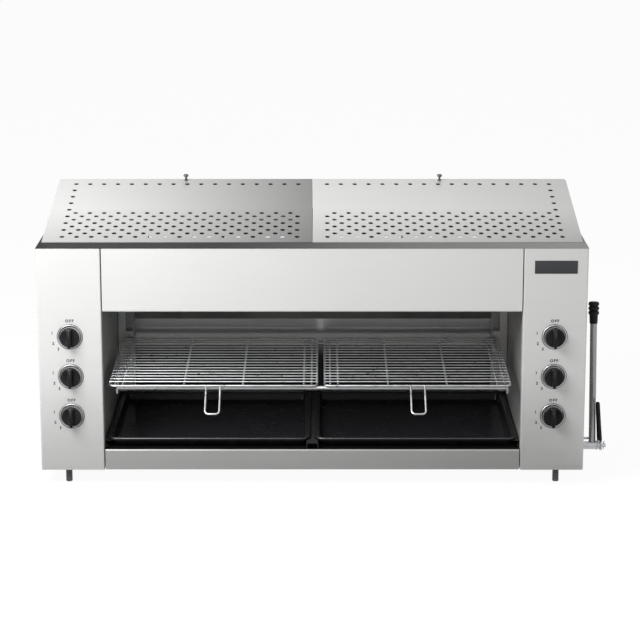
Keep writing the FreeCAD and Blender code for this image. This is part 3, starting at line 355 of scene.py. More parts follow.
def burner_ceramic(name, colour):
    """Porous plaque with rows of fine flame holes."""
    material, tree, shader = start_material(name, colour, 0, 0.9)
    place = node(tree, "ShaderNodeTexCoord")
    cells = node(tree, "ShaderNodeTexVoronoi")
    cells.inputs["Scale"].default_value = 330
    cells.inputs["Randomness"].default_value = 0
    link(place.outputs["Object"], cells.inputs["Vector"])
    holes = ranged(cells.outputs["Distance"], 0.2, 0.45)
    tint(shader, holes, scaled(colour, 0.25), colour)
    bump(shader, holes, 0.6, 0.0006)
    return material


def plated_metal(name, colour, roughness, scale):
    """Bright plating with a faint ripple and small changes of gloss."""
    material, tree, shader = start_material(name, colour, 1, roughness)
    ripple = even_noise(tree, scale, 2)
    tint(shader, spread(ripple), scaled(colour, 0.92), scaled(colour, 1.05))
    gloss(shader, ripple, roughness * 0.8, roughness * 1.5)
    bump(shader, ripple, 0.03, 0.0002)
    return material


def moulded_plastic(name, colour, roughness):
    """Hard black plastic with the fine grain of its mould."""
    material, tree, shader = start_material(name, colour, 0, roughness)
    shader.inputs["Specular IOR Level"].default_value = 0.15
    wear = even_noise(tree, 40, 3)
    tint(shader, spread(wear), scaled(colour, 0.75), scaled(colour, 1.6))
    gloss(shader, wear, roughness * 0.8, roughness * 1.3)
    bump(shader, even_noise(tree, 900, 2), 0.12, 0.00015)
    return material


def vitreous_enamel(name, colour):
    """Glossy black enamel with the faint waves of a fired coat."""
    material, tree, shader = start_material(name, colour, 0, 0.25)
    shader.inputs["Specular IOR Level"].default_value = 0.1
    waves = even_noise(tree, 14, 2)
    specks = spread(even_noise(tree, 600, 1))
    tint(shader, specks, scaled(colour, 0.8), scaled(colour, 2.2))
    gloss(shader, waves, 0.2, 0.3)
    bump(shader, waves, 0.1, 0.0015)
    return material


def make_materials(colours):
    """One material for each slot of the record, and one for the print."""
    return {
        "brushed_casing": casing_steel("casing_steel", colours.casing),
        "canopy_sheet": canopy_steel("canopy_steel", colours.canopy),
        "deck_steel": deck_steel("shaded_deck_steel", colours.deck),
        "cavity_wall": heat_darkened_steel("cavity_steel", colours.cavity),
        "polished_liner": mirror_liner("liner_steel", colours.liner),
        "dark_sheet": coated_sheet("dark_coating", colours.dark_sheet),
        "burner_ceramic": burner_ceramic("burner_plaque", colours.ceramic),
        "gas_pipe": plated_metal("zinc_pipe", colours.zinc, 0.25, 60),
        "brass_fitting": plated_metal("turned_brass", colours.brass, 0.3, 160),
        "bright_chrome": plated_metal("bright_plate", colours.chrome, 0.34, 90),
        "badge_grey": brushed_steel("badge_plate_metal", colours.badge, (8, 8, 900), 0.8, 0.35, 0.12),
        "black_plastic": moulded_plastic("black_plastic_grip", colours.plastic, 0.36),
        "black_enamel": vitreous_enamel("tray_enamel", colours.enamel),
        "foot_metal": plated_metal("foot_plate", colours.foot, 0.34, 200),
        "print": moulded_plastic("dial_print", colours.print, 0.6),
    }


# Shared steps

def box_of(name):
    return [Vector(corner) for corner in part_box(name)]


def middle_of(name):
    low, high = box_of(name)
    return (low + high) / 2


def mm_points(*points):
    """Points of a profile, as (radius, height), from millimetres."""
    return [(radius * MM, height * MM) for radius, height in points]


def place_object(name, data):
    made = bpy.data.objects.new(name, data)
    bpy.context.scene.collection.objects.link(made)
    return made


def to_mesh(name, bm):
    mesh = bpy.data.meshes.new(name)
    bm.to_mesh(mesh)
    bm.free()
    return mesh


def finish_piece(name, bm, slot, body, nodes=(), smooth=40):
    """Turns the mesh into a piece, gives it its finish and ties it to its body."""
    mesh = to_mesh(name, bm)
    piece = place_object(name, mesh)
    mesh.materials.append(grill_materials[slot])
    if smooth:
        mesh.shade_smooth()
        mesh.set_sharp_from_angle(angle=math.radians(smooth))
    if nodes:
        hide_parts(*nodes)
    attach(piece, body)
    return piece


def thicken(sheet, thickness):
    wall = sheet.modifiers.new("wall", "SOLIDIFY")
    wall.thickness = thickness
    wall.offset = -1


def only(kind, items):
    return [item for item in items if isinstance(item, kind)]


def edges_at(verts):
    return list({edge for vert in verts for edge in vert.link_edges})


def face_outwards(bm):
    bmesh.ops.recalc_face_normals(bm, faces=bm.faces)


def face_up(bm):
    """Turns the faces of an open sheet to its upper side."""
    face_outwards(bm)
    if sum(face.normal.z for face in bm.faces) < 0:
        bmesh.ops.reverse_faces(bm, faces=bm.faces)


def merge(bm, distance):
    bmesh.ops.remove_doubles(bm, verts=bm.verts, dist=distance)


def move_all(bm, step):
    bmesh.ops.translate(bm, verts=bm.verts, vec=step)


def turn_all(bm, centre, angle):
    """Turns the whole mesh about a line along X."""
    bmesh.ops.rotate(bm, verts=bm.verts, cent=centre, matrix=Matrix.Rotation(angle, 3, "X"))


def join(bm, other):
    """Adds another mesh to this one and frees it."""
    mesh = to_mesh("joined", other)
    bm.from_mesh(mesh)
    bpy.data.meshes.remove(mesh)


def round_off(bm, parts, offset, segments, affect="EDGES"):
    bmesh.ops.bevel(
        bm, geom=parts, offset=offset, segments=segments, profile=0.5, affect=affect, material=-1,
        clamp_overlap=True)


def rounded_block(low, high, radius, segments):
    """A box with all its edges rounded."""
    bm = bmesh.new()
    place = Matrix.Translation((low + high) / 2) @ Matrix.Diagonal((*(high - low), 1))
    verts = bmesh.ops.create_cube(bm, size=1, matrix=place)["verts"]
    round_off(bm, edges_at(verts), radius, segments)
    return bm


def rectangle(bm, place, width, depth):
    """A flat face round the place's origin."""
    return bmesh.ops.create_grid(
        bm, x_segments=1, y_segments=1, size=0.5,
        matrix=place @ Matrix.Diagonal((width, depth, 1, 1)))["verts"]


def facing(point, heading):
    """The place at a point whose Z looks along the heading."""
    return Matrix.Translation(point) @ Vector(heading).to_track_quat("Z", "Y").to_matrix().to_4x4()


def bar(bm, start, end, radius, segments):
    """A round bar between two points, closed at both ends."""
    bmesh.ops.create_cone(
        bm, cap_ends=True, segments=segments, radius1=radius, radius2=radius,
        depth=(end - start).length, matrix=facing((start + end) / 2, end - start))


def wire_start(bm, point, heading, radius, segments):
    """An open ring of edges, from which a wire is drawn."""
    return edges_at(bmesh.ops.create_circle(
        bm, segments=segments, radius=radius, matrix=facing(point, heading))["verts"])


def wire_straight(bm, ring, reach):
    made = bmesh.ops.extrude_edge_only(bm, edges=ring)["geom"]
    bmesh.ops.translate(bm, verts=only(bmesh.types.BMVert, made), vec=reach)
    return only(bmesh.types.BMEdge, made)


def wire_turn(bm, ring, centre, axis, angle, steps):
    verts = list({vert for edge in ring for vert in edge.verts})
    made = bmesh.ops.spin(
        bm, geom=verts + ring, cent=centre, axis=axis, angle=angle, steps=steps)["geom_last"]
    return only(bmesh.types.BMEdge, made)


def wire_frame(bm, x0, x1, y0, y1, z, corner, radius, segments):
    """A closed wire round a level rectangle with bent corners."""
    ring = wire_start(bm, Vector((x0 + corner, y0, z)), TO_RIGHT, radius, segments)
    runs = (
        (x1 - x0, (1, 0, 0), (x1 - corner, y0 + corner, z)),
        (y1 - y0, (0, 1, 0), (x1 - corner, y1 - corner, z)),
        (x1 - x0, (-1, 0, 0), (x0 + corner, y1 - corner, z)),
        (y1 - y0, (0, -1, 0), (x0 + corner, y0 + corner, z)),
    )
    for length, heading, centre in runs:
        ring = wire_straight(bm, ring, Vector(heading) * (length - 2 * corner))
        ring = wire_turn(bm, ring, centre, UPWARD, QUARTER, 6)
    merge(bm, 0.1 * MM)


def turned(points, centre, axis, steps=48):
    """A body of revolution from (radius, height) points along the axis."""
    bm = bmesh.new()
    turn = Vector(axis).to_track_quat("Z", "Y").to_matrix()
    verts = [bm.verts.new(centre + turn @ Vector((radius, 0, height))) for radius, height in points]
    edges = [bm.edges.new(pair) for pair in zip(verts, verts[1:])]
    bmesh.ops.spin(
        bm, geom=verts + edges, cent=centre, axis=axis, angle=math.tau, steps=steps, use_merge=True)
    merge(bm, 0.01 * MM)
    face_outwards(bm)
    return bm


def arc_points(centre, radius, from_angle, to_angle, steps):
    """Points of a profile on an arc, as (radius, height)."""
    angles = [from_angle + (to_angle - from_angle) * step / steps for step in range(steps + 1)]
    return [(centre[0] + radius * math.cos(turn), centre[1] + radius * math.sin(turn)) for turn in angles]


# Pieces

class GRILL_OT_finishes(bpy.types.Operator):
    """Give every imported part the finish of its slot"""
    bl_idname = "grill.finishes"
    bl_label = "Finishes"

    def execute(self, context):
        colours = context.scene.grill_colours
        grill_materials.update(make_materials(colours))
        slots = {part["node"]: part["material_slot"] for part in frame["record"]["subparts"]}
        finishes = {name: grill_materials[slots[name]] for name in frame["nodes"]}
        finishes["bottom_apron"] = apron_steel("apron_steel", colours.casing)
        finishes["burner_carrier"] = coated_sheet("carrier_coating", scaled(colours.dark_sheet, 7))
        finishes["cross_shaft"] = shaft_plate("shaft_plate", colours.chrome)
        for name, part in frame["nodes"].items():
            if not part.material_slots:
                raise RuntimeError("a packed part has no material slot: " + name)
            part.material_slots[0].material = finishes[name]
        return {"FINISHED"}


# Shares of the knob's depth, of its radius twice, and of the grip's reach
KNOB_SKIRT = 0.34
GRIP_HALF = 0.27
GRIP_REACH = 0.96
TOE_START = 0.6
LINE_HALF = 0.6 * MM
LINE_RISE = 0.5 * MM


def make_knob(side, row):
    part = side + "_knob_" + row
    body = side + "_control_" + row
    low, high = box_of(part)
    centre = (low + high) / 2
    centre.y = high.y
    radius = (high.x - low.x) / 2
    depth = high.y - low.y
    skirt = depth * KNOB_SKIRT
    reach = radius * GRIP_REACH
    profile = [(0, 0), (radius - 0.8 * MM, 0), (radius, 0.6 * MM), (radius - 0.4 * MM, skirt * 0.75)]
    profile += arc_points((radius - 2.6 * MM, skirt - 2 * MM), 2 * MM, 0.1, QUARTER, 4)
    profile += [(radius * 0.72, skirt - 0.4 * MM), (0, skirt - 0.9 * MM)]
    bm = turned(profile, centre, FORWARD, 64)
    join(bm, knob_grip(centre, radius, depth, skirt, reach))
    finish_piece(side + "_rotary_knob_" + row, bm, "black_plastic", body, [part])
    # a light metal line on the grip's front as a painted highlight
    line = painted_highlight_line(centre, depth, reach)
    finish_piece(side + "_painted_highlight_line_" + row, line, "foot_metal", body)


def knob_grip(centre, radius, depth, skirt, reach):
    """The bar across the skirt, narrower outwards, its front lower at both ends, its foot a point."""
    half = radius * GRIP_HALF
    low = centre + Vector((-half, -depth, -reach))
    high = centre + Vector((half, -skirt * 0.5, reach))
    bm = rounded_block(low, high, half * 0.5, 5)
    bmesh.ops.bisect_plane(
        bm, geom=bm.verts[:] + bm.edges[:] + bm.faces[:], dist=0.01 * MM,
        plane_co=centre + Vector((0, 0, -reach * TOE_START)), plane_no=UPWARD)
    for vert in bm.verts:
        share = (vert.co.z - centre.z) / reach
        out = (centre.y - vert.co.y) / depth
        toe = max(-share - TOE_START, 0) / (1 - TOE_START)
        vert.co.x = centre.x + (vert.co.x - centre.x) * (1.12 - 0.3 * out) * (1 - 0.5 * toe)
        vert.co.y += depth * 0.1 * max(abs(share) - 0.55, 0) * out
        vert.co.z -= radius * 0.09 * toe
    return bm


def painted_highlight_line(centre, depth, reach):
    """A light metal line on the grip's front, wider towards the dial, which is a painted highlight."""
    low = Vector((centre.x - LINE_HALF, centre.y - depth, centre.z + reach * 0.1))
    high = Vector((centre.x + LINE_HALF, centre.y - depth + LINE_RISE, centre.z + reach * 0.8))
    bm = rounded_block(low, high, 0.2 * MM, 2)
    for vert in bm.verts:
        share = (vert.co.z - centre.z) / reach
        vert.co.x = centre.x + (vert.co.x - centre.x) * (0.5 + share * 1.2)
        vert.co.y += depth * 0.1 * max(share - 0.55, 0)
    return bm


class GRILL_OT_knobs(bpy.types.Operator):
    """Model the six knobs, each a plain skirt with a tapered grip, a pointed foot and a light line on the grip
    as painted highlight
    """
    bl_idname = "grill.knobs"
    bl_label = "Knobs"

    def execute(self, context):
        for side in SIDES:
            for row in ROWS:
                make_knob(side, row)
        return {"FINISHED"}


# Each mark with its place across and up from the knob, in millimetres
DIAL_MARKS = (("OFF", 0, 35.5), ("1", -38.5, 8), ("2", -36.5, -15.5), ("3", -25.5, -28))
RING_RADII = (22.5 * MM, 27.3 * MM)
SHADOW_RING_RADII = (27.0 * MM, 28.5 * MM)
LETTER_SIZE = 8.8 * MM
LETTER_WEIGHT = 0.36 * MM
INK_DEPTH = 0.05 * MM


def ring_profile(depth):
    """A flat plated ring with a rolled outer edge and a dished inner edge."""
    inner, outer = RING_RADII
    profile = [(inner, 0), (outer, 0), (outer, depth * 0.4)]
    profile += arc_points((outer - depth * 0.5, depth * 0.4), depth * 0.5, 0, QUARTER, 5)[1:]
    return profile + [(inner + depth, depth * 0.85), (inner, depth * 0.2), (inner, 0)]


def shadow_ring_profile(depth):
    """A thin dark ring round the plated ring, which is its painted edge shadow."""
    inner, outer = SHADOW_RING_RADII
    return [(inner, 0), (outer, 0), (outer - 0.2 * MM, depth * 0.25), (inner, depth * 0.25), (inner, 0)]


def add_words(bm, words, spot):
    """Small upright letters that lie on the front of a column."""
    curve = bpy.data.curves.new("words", "FONT")
    curve.body = words
    curve.size = LETTER_SIZE
    curve.space_character = 1.3
    curve.offset = LETTER_WEIGHT
    curve.align_x = "CENTER"
    curve.align_y = "CENTER"
    curve.resolution_u = 3
    curve.extrude = INK_DEPTH
    holder = bpy.data.objects.new("words", curve)
    mesh = bpy.data.meshes.new_from_object(holder)
    bpy.data.objects.remove(holder)
    bpy.data.curves.remove(curve)
    place = Matrix.Translation(spot - Vector((0, INK_DEPTH + 0.01 * MM, 0)))
    mesh.transform(place @ Matrix.Rotation(QUARTER, 4, "X"))
    bm.from_mesh(mesh)
    bpy.data.meshes.remove(mesh)


class GRILL_OT_bezels(bpy.types.Operator):
    """Model the plated rings round the knobs and the printed marks outside them"""
    bl_idname = "grill.bezels"
    bl_label = "Bezels and dial marks"

    def execute(self, context):
        rings, shadow_rings, marks = bmesh.new(), bmesh.new(), bmesh.new()
        low, high = box_of("knob_bezels")
        depth = high.y - low.y
        for side in SIDES:
            for row in ROWS:
                knob = middle_of(side + "_knob_" + row)
                centre = Vector((knob.x, high.y, knob.z))
                join(rings, turned(ring_profile(depth), centre, FORWARD, 64))
                join(shadow_rings, turned(shadow_ring_profile(depth), centre, FORWARD, 64))
                for words, across, up in DIAL_MARKS:
                    add_words(marks, words, centre + Vector((across * MM, 0, up * MM)))
        finish_piece("dial_bezels", rings, "bright_chrome", "root", ["knob_bezels"])
        # a thin dark ring round each plated ring as its painted edge shadow
        finish_piece("bezel_shadow_rings", shadow_rings, "badge_grey", "root")
        finish_piece("dial_print", marks, "print", "root", smooth=0)
        return {"FINISHED"}


# Cross wires: from the rack's middle, from its end, and between the pair at the end
MIDDLE_WIRE = 65 * MM
EDGE_WIRE = 12 * MM
EDGE_PAIR = 17 * MM
HANDLE_WELD = 1.2 * MM


def make_rack(side, sizes):
    """A bent frame wire with thin wires over it and cross wires under those."""
    low, high = box_of(side + "_rack")
    radius = sizes.frame_wire
    count = sizes.wire_segments
    x0, x1 = low.x + radius, high.x - radius
    y0 = low.y + radius
    y1 = y0 + (high.y - y0 - radius) / math.cos(sizes.rack_tilt)
    z = low.z + radius
    bm = bmesh.new()
    wire_frame(bm, x0, x1, y0, y1, z, sizes.rack_corner, radius, count)
    grid_z = z + radius + sizes.grid_wire
    pitch = (y1 - y0 - 2 * sizes.rack_end_space) / (sizes.grid_wires - 1)
    for index in range(sizes.grid_wires):
        start = Vector((x0 - radius * 0.6, y0 + sizes.rack_end_space + index * pitch, grid_z))
        bar(bm, start, Vector((x1 + radius * 0.6, start.y, grid_z)), sizes.grid_wire, count)
    cross_z = grid_z - sizes.grid_wire - sizes.cross_wire
    edge = (x1 - x0) / 2 - EDGE_WIRE
    for hand in (-1, 1):
        for place in (MIDDLE_WIRE, edge, edge - EDGE_PAIR):
            start = Vector(((x0 + x1) / 2 + hand * place, y0 + radius * 0.5, cross_z))
            bar(bm, start, Vector((start.x, y1 - radius * 0.5, cross_z)), sizes.cross_wire, count)
    turn_all(bm, Vector((0, y0, z)), sizes.rack_tilt)
    face_outwards(bm)
    finish_piece(side + "_grill_rack", bm, "bright_chrome", side + "_wire_rack", [side + "_rack"], 60)


def make_handle(side, sizes):
    """A bent wire that is drawn level and then turned down at the rack's front wire."""
    low, high = box_of(side + "_rack_handle")
    rack_low = box_of(side + "_rack")[0]
    z = rack_low.z + sizes.frame_wire
    start_y = rack_low.y
    half = sizes.handle_width / 2
    middle = (low.x + high.x) / 2
    corner = sizes.handle_corner
    leg = (start_y - low.y - sizes.handle_wire) / math.cos(sizes.handle_drop) - corner
    bm = bmesh.new()
    start = Vector((middle - half, start_y + HANDLE_WELD, z))
    first = wire_start(bm, start, FORWARD, sizes.handle_wire, 14)
    ring = wire_straight(bm, first, Vector((0, -leg - HANDLE_WELD, 0)))
    ring = wire_turn(bm, ring, (middle - half + corner, start_y - leg, z), UPWARD, QUARTER, 10)
    ring = wire_straight(bm, ring, Vector((2 * (half - corner), 0, 0)))
    ring = wire_turn(bm, ring, (middle + half - corner, start_y - leg, z), UPWARD, QUARTER, 10)
    ring = wire_straight(bm, ring, Vector((0, leg + HANDLE_WELD, 0)))
    for end in (first, ring):
        bmesh.ops.edgeloop_fill(bm, edges=end)
    turn_all(bm, Vector((0, start_y, z)), sizes.handle_drop)
    face_outwards(bm)
    rack = side + "_wire_rack"
    finish_piece(side + "_pull_handle", bm, "bright_chrome", rack, [side + "_rack_handle"], 60)


class GRILL_OT_racks(bpy.types.Operator):
    """Model the two wire racks with round wires and weld them to their handles"""
    bl_idname = "grill.racks"
    bl_label = "Wire racks"

    def execute(self, context):
        for side in SIDES:
            make_rack(side, context.scene.grill_sizes)
            make_handle(side, context.scene.grill_sizes)
        return {"FINISHED"}


TRAY_CORNER = 22 * MM
TRAY_LIP = 4.0 * MM
TRAY_DROP = 0.9 * MM
RIM_HIGHLIGHT_RADIUS = 1.4 * MM
RIM_HIGHLIGHT_CORNER = 20 * MM
RIM_HIGHLIGHT_INSET = 2 * MM
RIM_HIGHLIGHT_DROP = 0.4 * MM


def make_tray(side, low, high, rim):
    """A rounded sheet that is sunk band by band from the rim to the floor."""
    size = high - low
    bm = bmesh.new()
    place = Matrix.Translation(((low.x + high.x) / 2, (low.y + high.y) / 2, high.z))
    round_off(bm, rectangle(bm, place, size.x, size.y), TRAY_CORNER, 8, "VERTICES")
    floor = list(bm.faces)
    bands = (
        (-0.5 * MM, 0.4 * MM), (-0.4 * MM, 1.1 * MM), (0, rim - 3.4 * MM), (0.4 * MM, 1.2 * MM),
        (0.8 * MM, 0.9 * MM), (1.4 * MM, 0.6 * MM), (size.z - TRAY_SHEET - 6.6 * MM, 2.8 * MM),
        (2.4 * MM, 1.6 * MM), (1.2 * MM, 2.6 * MM), (0.4 * MM, 3.0 * MM),
    )
    for drop, width in bands:
        sink(bm, floor, drop, width)
    outer = [edge for edge in bm.edges if edge.is_boundary]
    lip = bmesh.ops.extrude_edge_only(bm, edges=outer)["geom"]
    bmesh.ops.translate(bm, verts=only(bmesh.types.BMVert, lip), vec=(0, 0, -TRAY_LIP))
    move_all(bm, (0, 0, -TRAY_DROP))
    face_up(bm)
    body, part = side + "_tray", side + "_drip_tray"
    tray = finish_piece(side + "_fat_tray", bm, "black_enamel", body, [part], 50)
    thicken(tray, TRAY_SHEET)


def make_rim_highlight(side, low, high):
    """A light metal ring along the tray's rim, which is a painted highlight of the rim's edge."""
    bm = bmesh.new()
    # a light metal ring on the rim as a painted highlight
    wire_frame(
        bm, low.x + RIM_HIGHLIGHT_INSET, high.x - RIM_HIGHLIGHT_INSET, low.y + RIM_HIGHLIGHT_INSET, high.y - RIM_HIGHLIGHT_INSET,
        high.z - RIM_HIGHLIGHT_DROP, RIM_HIGHLIGHT_CORNER, RIM_HIGHLIGHT_RADIUS, 10)
    face_outwards(bm)
    finish_piece(side + "_tray_rim_highlight", bm, "foot_metal", side + "_tray", (), 60)


def sink(bm, faces, depth, width):
    """Insets the floor and lowers it, which adds one sloped band."""
    bmesh.ops.inset_region(bm, faces=faces, thickness=width, use_even_offset=True, use_boundary=True)
    verts = list({vert for face in faces for vert in face.verts})
    bmesh.ops.translate(bm, verts=verts, vec=(0, 0, -depth))


class GRILL_OT_trays(bpy.types.Operator):
    """Model the two drawn drip trays with a rolled rim, sloped sides and a light ring on the rim as painted
    highlight
    """
    bl_idname = "grill.trays"
    bl_label = "Drip trays"

    def execute(self, context):
        for side in SIDES:
            low, high = box_of(side + "_drip_tray")
            make_tray(side, low, high, context.scene.grill_sizes.tray_rim)
            make_rim_highlight(side, low, high)
        return {"FINISHED"}


REAR_CORNER = 9 * MM
HOLE_SEGMENTS = 14
LONGEST_HOLE_EDGE = 4 * MM
FRONT_INSET = 0.25 * MM
STUD_LENGTH = 14.5 * MM
STUD_HEAD = 6 * MM


def canopy_slope(side):
    """The canopy's tilt, and the direction that stands off its upper face."""
    low, high = box_of(side + "_canopy_grille")
    angle = math.atan2(high.z - low.z - CANOPY_SHEET, high.y - low.y)
    return angle, Vector((0, -math.sin(angle), math.cos(angle)))


def pattern_field(sizes, pierced):
    """One field of the pattern: a rectangle, plain or with a hole in its middle."""
    bm = bmesh.new()
    x, y = sizes.hole_pitch / 2, sizes.hole_row_pitch / 2
    spots = ((-x, -y), (0, -y), (x, -y), (x, y), (0, y), (-x, y))
    rim = [bm.verts.new((*spot, 0)) for spot in spots]
    if pierced:
        edges = edge_loop(bm, rim)
        edges += edges_at(bmesh.ops.create_circle(
            bm, segments=HOLE_SEGMENTS, radius=sizes.hole_radius)["verts"])
        bmesh.ops.triangle_fill(bm, edges=edges, use_beauty=True)
    else:
        bm.faces.new(rim)
    return to_mesh("field", bm)


def edge_loop(bm, verts):
    return [bm.edges.new((verts[index - 1], verts[index])) for index in range(len(verts))]


def make_sheet(side, sizes):
    """The pattern is laid out flat from the seam, bordered, and then tilted into its place."""
    low, high = box_of(side + "_canopy_grille")
    angle, outwards = canopy_slope(side)
    length = math.hypot(high.y - low.y - FRONT_INSET, high.z - low.z - CANOPY_SHEET)
    width = high.x - low.x
    fields = {kind: pattern_field(sizes, kind) for kind in (True, False)}
    bm = bmesh.new()
    for row in range(sizes.hole_rows):
        shift = sizes.hole_pitch / 2 if row % 2 else 0
        columns = int((width - 2 * sizes.hole_side_margin - shift) / sizes.hole_pitch) + 1
        y = sizes.hole_front_margin + row * sizes.hole_row_pitch
        for column in range(columns):
            by_side = column == columns - 1 and not shift
            pierced = row < sizes.open_rows or row == sizes.hole_rows - 1 or by_side
            known = len(bm.verts)
            bm.from_mesh(fields[pierced])
            bm.verts.ensure_lookup_table()
            x = sizes.hole_side_margin + shift + column * sizes.hole_pitch
            bmesh.ops.translate(bm, verts=bm.verts[known:], vec=(x, y, 0))
    for mesh in fields.values():
        bpy.data.meshes.remove(mesh)
    merge(bm, 0.02 * MM)
    add_border(bm, width, length)
    face_up(bm)
    if side == "left":
        bmesh.ops.scale(bm, verts=bm.verts, vec=(-1, 1, 1))
        move_all(bm, (width, 0, 0))
        bmesh.ops.reverse_faces(bm, faces=bm.faces)
    turn_all(bm, Vector((0, 0, 0)), angle)
    move_all(bm, low + Vector((0, FRONT_INSET, 0)) + outwards * CANOPY_SHEET)
    body, part = side + "_canopy", side + "_canopy_grille"
    sheet = finish_piece(side + "_perforated_sheet", bm, "canopy_sheet", body, [part], 0)
    thicken(sheet, CANOPY_SHEET)


def add_border(bm, width, length):
    """Fills from the staggered edge of the pattern to the straight edges of the sheet."""
    outside = [edge for edge in bm.edges if edge.is_boundary and not on_hole(edge)]
    radius = REAR_CORNER
    rear = arc_points((width - radius, length - radius), radius, 0, QUARTER, 6)
    corners = [bm.verts.new((x, y, 0)) for x, y in [(0, 0), (width, 0)] + rear + [(0, length)]]
    bmesh.ops.triangle_fill(bm, edges=outside + edge_loop(bm, corners), use_beauty=True)


def on_hole(edge):
    """A hole's edge is short, and the pattern's outer edges are longer."""
    return edge.calc_length() < LONGEST_HOLE_EDGE


def make_stud(side):
    low, high = box_of(side + "_canopy_stud")
    angle, axis = canopy_slope(side)
    top_y = low.y + STUD_HEAD * math.cos(angle)
    top_z = high.z - STUD_HEAD * math.sin(angle)
    foot = Vector(((low.x + high.x) / 2, top_y, top_z)) - axis * STUD_LENGTH
    profile = mm_points((0, 0), (4.2, 0), (4.2, 1.0), (2.5, 1.4), (2.3, 9.6), (5.4, 10.2))
    profile += arc_points((4.2 * MM, 12.2 * MM), 1.8 * MM, -0.9, QUARTER, 6) + mm_points((0, 14.3))
    bm = turned(profile, foot, axis, 32)
    finish_piece(side + "_lifting_stud", bm, "foot_metal", side + "_canopy", [side + "_canopy_stud"], 50)


class GRILL_OT_canopies(bpy.types.Operator):
    """Model the two perforated canopy sheets with round holes and one lifting stud each"""
    bl_idname = "grill.canopies"
    bl_label = "Perforated canopies"

    def execute(self, context):
        for side in SIDES:
            make_sheet(side, context.scene.grill_sizes)
            make_stud(side)
        return {"FINISHED"}


WASHER_DEPTH = 2.5 * MM
SHAFT_PLAY = 0.3 * MM
HUB_DEPTH = 5.6 * MM
NUT_DEPTH = 5 * MM
NUT_RADIUS = 12.2 * MM
CATCH_LEAN = math.radians(2)
SLEEVE_TILT = math.radians(4.4)
PIN_RADIUS = 1.1 * MM
EYE_RADIUS = 1.2 * MM
EYE_WIRE = 0.6 * MM


def make_tube(sizes, base, axis):
    wall = sizes.lever_radius - 0.1 * MM
    top = sizes.lever_length - sizes.grip_length + 8 * MM
    profile = [(0, 6.2 * MM), (sizes.lever_radius - 1 * MM, 6.2 * MM), (wall, 7 * MM), (wall, top), (0, top)]
    finish_piece("lift_lever_tube", turned(profile, base, axis), "gas_pipe", "lift_lever", ["lever_tube"], 50)


def make_grip(sizes, base, axis):
    """A tapered sleeve with three round lobes at its end."""
    end = sizes.lever_length
    foot = end - sizes.grip_length
    neck = end - 30 * MM
    profile = [(0, foot), (sizes.lever_radius, foot), (8.6 * MM, foot)]
    profile += [(8.9 * MM, foot + 0.6 * MM), (9.6 * MM, neck - 2 * MM)]
    for lobe in (5 * MM, 15 * MM, 25 * MM):
        profile += arc_points((6.6 * MM, neck + lobe), 5.6 * MM, -1.0, 1.0, 8)
    profile += [(6.5 * MM, end - 0.1 * MM), (0, end - 0.1 * MM)]
    grip = turned(profile, base, axis)
    finish_piece("lift_lever_grip", grip, "black_plastic", "lift_lever", ["lever_grip"], 50)


def make_catch(shaft):
    """The hub on the shaft with its tab, and the sleeved lever that stands on the tab."""
    hub_x = box_of("shaft_fasteners")[0].x + WASHER_DEPTH + SHAFT_PLAY
    hub_end = hub_x + HUB_DEPTH
    profile = mm_points((0, 0), (8.6, 0), (8.95, 0.5), (8.95, 5.1), (8.6, 5.6), (0, 5.6))
    bm = turned(profile, Vector((hub_x, shaft.y, shaft.z)), TO_RIGHT, 40)
    tab = rounded_block(
        Vector((hub_x, shaft.y - 4 * MM, shaft.z + 3 * MM)),
        Vector((hub_end, shaft.y + 4 * MM, shaft.z + 25 * MM)), 0.6 * MM, 2)
    turn_all(tab, shaft, CATCH_LEAN)
    join(bm, tab)
    finish_piece("catch_lever_hub", bm, "bright_chrome", "catch")
    root = Vector(((hub_x + hub_end) / 2 + 2.4 * MM, shaft.y, shaft.z + 12.8 * MM))
    reach = Vector((-math.sin(SLEEVE_TILT), 0, math.cos(SLEEVE_TILT)))
    profile = mm_points((0, 0), (5.4, 0), (6.1, 0.8), (5.9, 6), (5.4, 30), (4.9, 84))
    profile += arc_points((0.6 * MM, 86 * MM), 4.2 * MM, 0, QUARTER, 6) + mm_points((0, 90.2))
    sleeve = turned(profile, root, reach, 40)
    turn_all(sleeve, shaft, CATCH_LEAN)
    finish_piece("catch_lever_sleeve", sleeve, "black_plastic", "catch", ["catch_lever"], 50)


def make_fasteners(shaft):
    """Washer, nut and split pin in one piece at the shaft's outer end."""
    low, high = box_of("shaft_fasteners")
    profile = mm_points((4.4, 0), (10.1, 0), (10.4, 0.4), (10.4, 2.1), (10.1, 2.5), (4.4, 2.5), (4.4, 0))
    bm = turned(profile, Vector((low.x, shaft.y, shaft.z)), TO_RIGHT)
    start = Vector((low.x + WASHER_DEPTH + HUB_DEPTH + 2 * SHAFT_PLAY, shaft.y, shaft.z))
    nut = bmesh.new()
    bar(nut, start, start + Vector((NUT_DEPTH, 0, 0)), NUT_RADIUS, 6)
    round_off(nut, list(nut.edges), 0.6 * MM, 2)
    join(bm, nut)
    pin = Vector((high.x - 2.4 * MM, shaft.y, shaft.z))
    bar(bm, pin - Vector((0, 0, 8.4 * MM)), pin + Vector((0, 0, 7 * MM)), PIN_RADIUS, 16)
    eye = pin + Vector((0, 0, 8.5 * MM))
    ring = wire_start(bm, eye - Vector((EYE_RADIUS, 0, 0)), UPWARD, EYE_WIRE, 10)
    wire_turn(bm, ring, eye, (0, 1, 0), math.tau, 20)
    merge(bm, 0.005 * MM)
    face_outwards(bm)
    finish_piece("shaft_end_fasteners", bm, "bright_chrome", "lift_lever", ["shaft_fasteners"])


